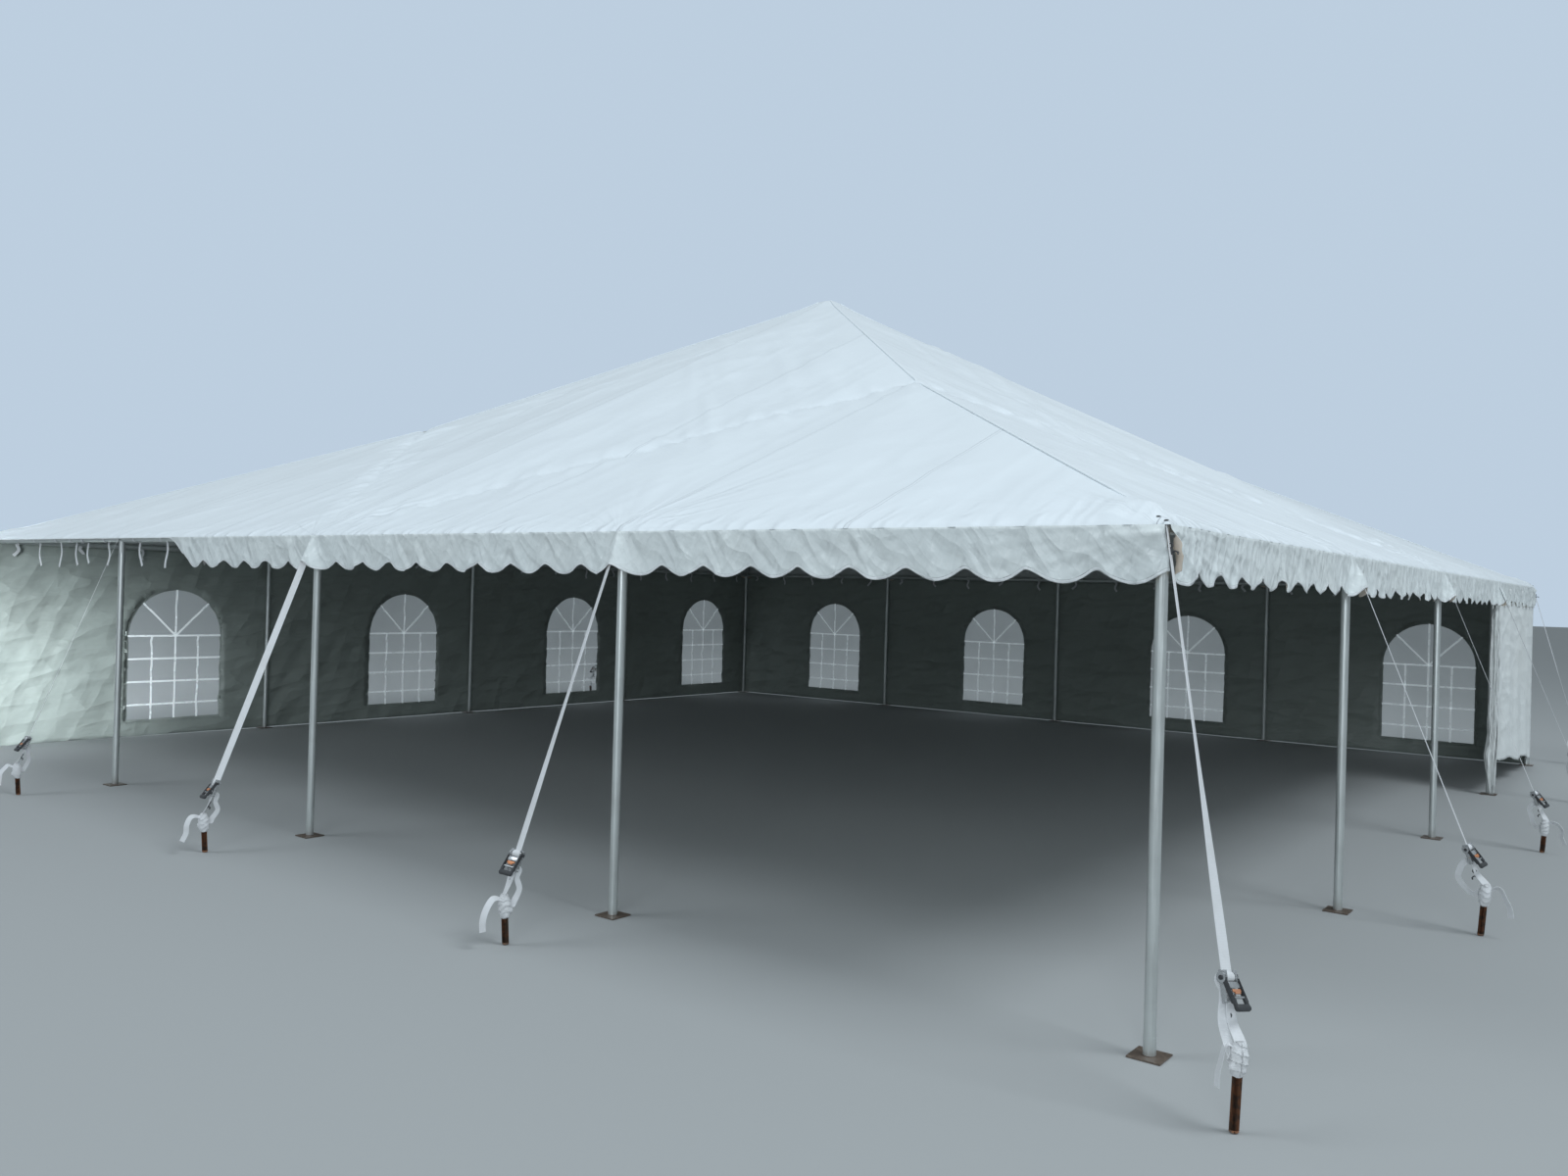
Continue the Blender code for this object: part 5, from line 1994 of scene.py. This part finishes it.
@dataclass
class TieDown(Assembly):
    """Webbing strap with ratchet, knot, loose tail and stake of one leg.

    It is modelled with the leg's foot at the origin and the stake along +X. The knot's sections are height and radius,
    and the tail's points are reach and rise from the knot.
    """

    kit: HardwareKit
    out: float
    turn: StrapTurn
    seed: int
    over: float
    strap_width: float = 0.05
    strap_thickness: float = 0.0024
    loose_share: float = 0.64
    end_height: float = 0.24
    usual_height: float = 0.44
    stake_lean: float = 0.07
    roll_radius: float = 0.015
    knot_rows: int = 44
    knot_around: int = 32
    lap: float = 0.03
    hook_levels: Limits = (2.015, 0.33)
    hook_rises: Limits = (0.0045, 0.01)
    low_hook_turn: float = 2.5
    knot_sections: tuple[Limits, ...] = ((0.166, 0.016), (0.174, 0.0215), (0.19, 0.027), (0.215, 0.031),
                                         (0.245, 0.032), (0.272, 0.025), (0.29, 0.015))
    tail_points: tuple[Limits, ...] = ((0.022, 0.0), (0.052, 0.016), (0.084, 0.004), (0.108, -0.04),
                                       (0.122, -0.09), (0.136, -0.14))

    @property
    def lift(self) -> float:
        """How much higher than usual the knot is tied."""
        return self.turn.high - self.usual_height

    @property
    def start(self) -> Array:
        """Upper end of the strap, on the rail's joint."""
        return np.array([self.plan.fitting_radius + 0.0018, 0.0, self.plan.rail_height])

    @property
    def slope(self) -> Array:
        """Direction of the strap, downwards."""
        run = self.stake_axis(self.end_height) - self.start
        return run / np.linalg.norm(run)

    @property
    def lean(self) -> float:
        """Angle of the strap from upright."""
        return math.atan2(self.slope[0], -self.slope[2])

    @property
    def outward(self) -> Array:
        """Direction square to the strap, away from the tent."""
        return np.array([-self.slope[2], 0.0, self.slope[0]])

    def on_line(self, height: float) -> Array:
        """Point of the strap's line at a height."""
        share = (self.plan.rail_height - height) / (self.plan.rail_height - self.end_height)
        return self.start + (self.stake_axis(self.end_height) - self.start) * share

    def stake_axis(self, height: float) -> Array:
        """Middle of the stake at a height."""
        return np.array([self.out + self.stake_lean * height, 0.0, height])

    def across(self, angle: Array) -> Array:
        """Directions of the strap's width, turned about its line."""
        angle = np.asarray(angle)[:, None]
        return np.cos(angle) * np.array([[0.0, 1.0, 0.0]]) + np.sin(angle) * self.outward[None, :]

    def taut_webbing(self) -> Shell:
        """Strap from over the rail to the ratchet, and from there to the stake, with the knot.

        Returns:
            The mesh.
        """
        turn, lift, thickness = self.turn, self.lift, self.strap_thickness
        radius = self.plan.fitting_radius + thickness / 2 + 0.0006
        over = [(radius * math.sin(a), 0.0, self.plan.rail_height + radius * math.cos(a))
                for a in np.linspace(self.over, math.pi / 2 - self.lean * 0.4, 9)]
        low = self.on_line(turn.high + 0.02) + self.outward * 0.004
        path = np.concatenate([over, np.linspace(np.array(over[-1]), low, 34)[1:]])
        run = np.linspace(-0.26, 1.0, len(path))
        angle = turn.top + (turn.low - turn.top) * smoothstep((np.clip(run, 0, 1) - 0.45) / 0.5)
        angle = angle * smoothstep((run + 0.1) / 0.1)
        width = self.strap_width * (0.45 + 0.55 * smoothstep((run + 0.01) / 0.06))
        parts = [ribbon(path, self.across(angle), width, thickness)]

        facing = self.across([turn.ratchet])[0]
        square, size = np.cross(facing, self.slope), self.roll_radius
        spool = self.on_line(turn.high + 0.038)
        roll = [spool + square * size * math.cos(a) + self.slope * size * math.sin(a)
                for a in np.linspace(0, 2 * math.pi, 20)]
        parts.append(ribbon(roll, facing, self.strap_width * 0.96, 0.007))

        lower = curve_through([self.on_line(turn.high - 0.045), self.on_line(0.335 + lift),
                               self.stake_axis(0.28 + lift) + [0.006, 0.002, 0.0],
                               self.stake_axis(0.235 + lift) + [0.012, -0.006, 0.0]], 16)
        angle = np.linspace(turn.ratchet, turn.ratchet + 0.9, len(lower))
        parts.append(ribbon(lower, self.across(angle), self.strap_width * 0.84, thickness * 1.3))
        return merged(parts + [self.knot()])

    def knot(self) -> Shell:
        """Webbing wound over itself round the top of the stake, with steps where each turn laps the last.

        Returns:
            The mesh.
        """
        rng = np.random.default_rng(700 + self.seed)
        levels, radii = zip(*self.knot_sections)
        height = np.linspace(levels[0], levels[-1], self.knot_rows)[:, None] + self.lift
        turn = np.linspace(0, 2 * math.pi, self.knot_around, endpoint=False)[None, :]
        phase, slant = rng.uniform(0, 2 * math.pi), rng.choice(HANDS) * rng.uniform(0.5, 0.8)
        radius = np.interp(height - self.lift, levels, radii)
        lap = (height + slant * self.lap * np.sin(turn + phase)) / self.lap + 0.2 * np.sin(2 * turn + phase)
        radius = radius + 0.0052 * (0.5 - lap % 1.0) + 0.0015 * crumple(turn * 3, height * 60, 71 + self.seed, 2)
        spot = np.angle(np.exp(1j * (turn - rng.uniform(0, 2 * math.pi))))
        radius = radius * (1 + 0.45 * bell(spot / 0.42, (height - self.lift - 0.205) / 0.018))
        points = stacked(self.out + self.stake_lean * height + radius * np.cos(turn), radius * np.sin(turn), height)
        number, ahead, faces = ring_faces(self.knot_rows, self.knot_around)
        first = len(points)
        ends = [self.stake_axis(float(height[row, 0])) for row in (0, -1)]
        faces += [[first, b, a] for a, b in zip(number[0], ahead[0])]
        faces += [[first + 1, a, b] for a, b in zip(number[-1], ahead[-1])]
        uv = stacked(turn * 0.03, height)
        return np.concatenate([points, ends]), faces, np.concatenate([uv, uv[:2]])

    def loose_webbing(self) -> tuple[Shell, float]:
        """Free loop beside the ratchet and the tail that hangs from the knot.

        Returns:
            The mesh, and the length of both.
        """
        jig = np.random.default_rng(900 + self.seed).uniform(-0.012, 0.012, 8)
        bulge, lift = self.turn.bulge, self.lift
        side = np.array([math.cos(self.turn.loop), math.sin(self.turn.loop), 0.0])
        start = self.turn.high + (0.045 if bulge < 0.05 else -0.03)
        low = 0.245 + lift
        loop = curve_through([
            self.on_line(start) + side * 0.01,
            self.on_line(start - 0.015) + side * (0.022 + 0.25 * bulge),
            self.on_line(start - 0.055) + side * (0.7 * bulge + jig[0]),
            self.on_line((start - 0.055 + low) / 2) + side * (bulge + jig[1]),
            self.stake_axis(low + jig[2]) + side * (0.8 * bulge),
            self.stake_axis(low - 0.017) + side * (0.022 + 0.3 * bulge),
            self.stake_axis(low + 0.005) + side * 0.026,
        ], 40)
        parts = [self.loose_band(loop, side, 1.3 + 0.35 * np.sin(np.linspace(0, 5, 40)))]
        side = np.array([math.cos(self.turn.tail), math.sin(self.turn.tail), 0.0])
        knot = self.stake_axis(0.262 + lift)
        tail = curve_through([knot + side * (reach + jig[k]) + UP * rise
                              for k, (reach, rise) in enumerate(self.tail_points)], 26)
        twist = (0.5, 1.25)
        if self.turn.tail < -1.5:
            tail, twist = knot + (tail - knot) * [0.55, 0.55, 1.0], (0.15, 0.5)
        parts.append(self.loose_band(tail, side, np.linspace(*twist, 26)))
        length = sum(float(np.linalg.norm(np.diff(p, axis=0), axis=1).sum()) for p in (loop, tail))
        return merged(parts), length

    def loose_band(self, path: Array, side: Array, twist: Array) -> Shell:
        """Loose band along a path.

        Args:
            path: Its middle line.
            side: Direction in plan that the path keeps to.
            twist: Turn of its width from the path's own plane, at each point.

        Returns:
            The mesh.
        """
        normal = np.cross(side, UP)
        along = np.gradient(path, axis=0)
        along /= np.linalg.norm(along, axis=1, keepdims=True)
        across = np.cos(twist)[:, None] * normal + np.sin(twist)[:, None] * np.cross(normal, along)
        return ribbon(path, across, self.strap_width * self.loose_share, self.strap_thickness)

    def at(self, height: float, angle: float, out: float = 0.0) -> Matrix:
        """Place on the strap: +Z up along it, +X outwards, then turned about it and moved out."""
        return (Matrix.Translation(Vector(self.on_line(height))) @ Matrix.Rotation(-self.lean, 4, "Y")
                @ Matrix.Rotation(-angle, 4, "Z") @ Matrix.Translation((out, 0.0, 0.0)))

    def build(self, name: str, post: Matrix) -> None:
        """Build the tie-down of one post.

        Args:
            name: Name of the post.
            post: Turn and place of the post.
        """
        strap = add_mesh(f"strap_{name}", *self.taut_webbing())
        shell, length = self.loose_webbing()
        loose = add_mesh(f"strap_tail_{name}", *shell)
        for piece in (strap, loose):
            crease_over(piece, 45)
            piece.data.transform(post)
        placed(strap, self.finishes.webbing, [f"tie_down_{name}"])
        placed(loose, self.finishes.webbing)
        turn, (top, low), (top_rise, low_rise) = self.turn, self.hook_levels, self.hook_rises
        self.kit.copy("ratchet", name, post @ self.at(turn.high, turn.ratchet))
        if self.over > 0:
            self.kit.copy("hook", f"{name}_top", post @ self.at(top, turn.top, top_rise))
        low_place = self.at(low + self.lift, turn.ratchet + self.low_hook_turn, low_rise)
        self.kit.copy("hook", f"{name}_low", post @ low_place)
        shear = Matrix.Identity(4)
        shear[0][2] = self.stake_lean
        self.kit.copy("stake", name, post @ Matrix.Translation((self.out, 0, 0)) @ shear)


@dataclass
class TieDowns(Assembly):
    """All sixteen tie-downs. The angles say how far round the rail's joint a strap starts."""

    out_side: float = 0.75
    out_corner: float = 0.68
    over_side: float = -0.4
    over_corner: float = 0.95

    def build(self) -> None:
        """Build each tie-down at its post."""
        kit = HardwareKit(self.finishes)
        kit.model()
        for number, (name, side, index) in enumerate(self.plan.posts()):
            spot = on_side(side, self.plan.post_line(index), -self.plan.half)
            out, turn, over = self.out_side, side.turn - math.pi / 2, self.over_side
            if index == 0:
                out, turn, over = self.out_corner, side.turn - 3 * math.pi / 4, self.over_corner
            post = Matrix.Translation(Vector(spot)) @ Matrix.Rotation(turn, 4, "Z")
            strap_turn = StrapTurn.of(number, side, index)
            TieDown(self.plan, self.finishes, kit, out, strap_turn, number, over).build(name, post)
        kit.put_away()


@dataclass
class TubeFrame(Assembly):
    """The CAD's legs, rails, rafters and crown, with their finishes and the bolts of the fittings."""

    bolt_radius: float = 0.0075
    bolt_height: float = 0.005
    bolt_places: Limits = (-0.075, 0.075)

    def dress_nodes(self) -> None:
        """Give every shown CAD node its finish."""
        for name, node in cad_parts.items():
            if node.hide_render:
                continue
            material = self.finishes.aluminium
            if name.startswith("leg_"):
                material = self.finishes.leg
            elif name == "crown_fitting":
                material = self.finishes.galvanised
            node.data.materials.clear()
            node.data.materials.append(material)
            LOG.info("%s: CAD node, %s", name, material.name)

    def build_bolts(self) -> None:
        """Bolt heads on the inner side of each fitting of the eave."""
        plan = self.plan
        deselect()
        bpy.ops.mesh.primitive_cylinder_add(vertices=6, radius=self.bolt_radius, depth=self.bolt_height,
                                            rotation=(math.pi / 2, 0, 0))
        pattern = bpy.context.object
        apply_place()
        rounded(pattern, 0.001)
        bolts = []
        for _, side, index in plan.posts():
            for shift in self.bolt_places[index == 0:]:
                local = (plan.post_line(index) + shift, -plan.half + plan.tube_radius + 0.003, plan.rail_height)
                mesh = pattern.data.copy()
                mesh.transform(Matrix.Rotation(side.turn, 4, "Z") @ Matrix.Translation(local))
                bolts.append(linked("bolt", mesh))
        bpy.data.objects.remove(pattern)
        placed(joined(bolts, "fitting_bolts"), self.finishes.galvanised)

    def build(self) -> None:
        """Dress the frame."""
        self.dress_nodes()
        self.build_bolts()


@dataclass(frozen=True)
class Lamp:
    """A square lamp, in metres, watts and degrees."""

    name: str
    place: tuple[float, float, float]
    aim: tuple[float, float, float]
    energy: float
    size: float = 9.0
    spread: float = 180.0
    colour: Shade = (0.86, 0.94, 1.0)

    def build(self) -> None:
        """Hang the lamp, turned to what it lights."""
        data = bpy.data.lights.new(self.name, "AREA")
        data.shape, data.size, data.energy = "SQUARE", self.size, self.energy
        data.spread = math.radians(self.spread)
        data.color = self.colour
        lamp = linked(self.name, data)
        lamp.location = self.place
        lamp.rotation_euler = (Vector(self.aim) - Vector(self.place)).to_track_quat("-Z", "Y").to_euler()


@dataclass(frozen=True)
class Studio:
    """Camera at the photograph's angle, pale floor and soft light."""

    camera_place: tuple[float, float, float] = (7.8546, -10.8543, 1.813)
    yaw: float = math.radians(37.652)
    pitch: float = math.radians(0.245)
    roll: float = math.radians(1.6016)
    sensor: float = 36.0
    lens: float = 1231.85 / 1600 * sensor
    floor_size: float = 400.0
    floor_colour: Shade = (0.42, 0.43, 0.43)
    sky_seen: Shade = (0.51, 0.62, 0.74)
    sky_light: Shade = (0.8, 0.92, 1.0)
    sky_strength: float = 0.46
    lamps: tuple[Lamp, ...] = (
        Lamp("overhead", (-9.0, -18.0, 20.0), (0.0, 0.0, 2.0), 1300.0),
        Lamp("fill", (17.0, -3.5, 20.0), (0.0, 0.0, 2.0), 2350.0),
        Lamp("front", (15.0, -27.0, 8.0), (0.0, 0.0, 1.0), 1520.0),
        Lamp("low", (1.0, -13.0, 1.6), (-6.1, -6.2, 0.7), 30.0, 1.2, 17.0))

    def build_camera(self) -> None:
        """Set the camera."""
        c, s = math.cos(self.yaw), math.sin(self.yaw)
        forward = Vector((-s * math.cos(self.pitch), c * math.cos(self.pitch), math.sin(self.pitch)))
        level = Vector((c, s, 0.0))
        up = level.cross(forward)
        right = level * math.cos(self.roll) + up * math.sin(self.roll)
        top = up * math.cos(self.roll) - level * math.sin(self.roll)
        data = bpy.data.cameras.new("photo_camera")
        data.lens, data.sensor_width = self.lens, self.sensor
        data.clip_start, data.clip_end = 0.05, 1000.0
        camera = linked("photo_camera", data)
        turn = Matrix((right, top, -forward)).transposed().to_4x4()
        camera.matrix_world = Matrix.Translation(self.camera_place) @ turn
        bpy.context.scene.camera = camera

    def build_floor(self) -> None:
        """Lay the pale floor."""
        deselect()
        bpy.ops.mesh.primitive_plane_add(size=self.floor_size, location=(0, 0, -0.002))
        floor = bpy.context.object
        floor.name = "studio_floor"
        material = bpy.data.materials.new("studio_floor")
        material.use_nodes = True
        nodes = Nodes(material.node_tree)
        nodes.fill(nodes.tree.nodes["Principled BSDF"],
                   {"Base Color": self.floor_colour, "Roughness": 0.95, "Specular IOR Level": 0.1})
        floor.data.materials.append(material)

    def build_sky(self) -> None:
        """Soft light from a pale sky, which the camera sees in a plain blue grey."""
        world = bpy.data.worlds.new("studio_sky")
        bpy.context.scene.world = world
        world.use_nodes = True
        nodes = Nodes(world.node_tree)
        light, output = (nodes.tree.nodes[name] for name in ("Background", "World Output"))
        nodes.fill(light, {"Color": self.sky_light, "Strength": self.sky_strength})
        seen = nodes.add("Background", {"Color": self.sky_seen})
        camera_ray = nodes.add("LightPath").outputs["Is Camera Ray"]
        choice = nodes.add("MixShader", {0: camera_ray, 1: light.outputs[0], 2: seen.outputs[0]})
        nodes.fill(output, {"Surface": choice.outputs[0]})

    def build(self) -> None:
        """Build the studio."""
        self.build_camera()
        self.build_floor()
        self.build_sky()
        for lamp in self.lamps:
            lamp.build()
        bpy.context.scene.view_settings.view_transform = "Standard"


def main() -> None:
    """Build the studio, dress the tent and report each piece."""
    logging.basicConfig(level=logging.INFO, format="%(name)s %(message)s")
    plan = TentPlan()
    Studio().build()
    finishes = Finishes()
    Canopy(plan, finishes).build()
    for side in Side:
        Valance(plan, finishes, side).build()
    for side in (Side.BACK, Side.LEFT):
        Sidewall(plan, finishes, side).build()
    ReturnCurtain(plan, finishes).build()
    for side in Side:
        RailTies(plan, finishes, side).build()
    TieDowns(plan, finishes).build()
    TubeFrame(plan, finishes).build()


if __name__ == "__main__":
    main()
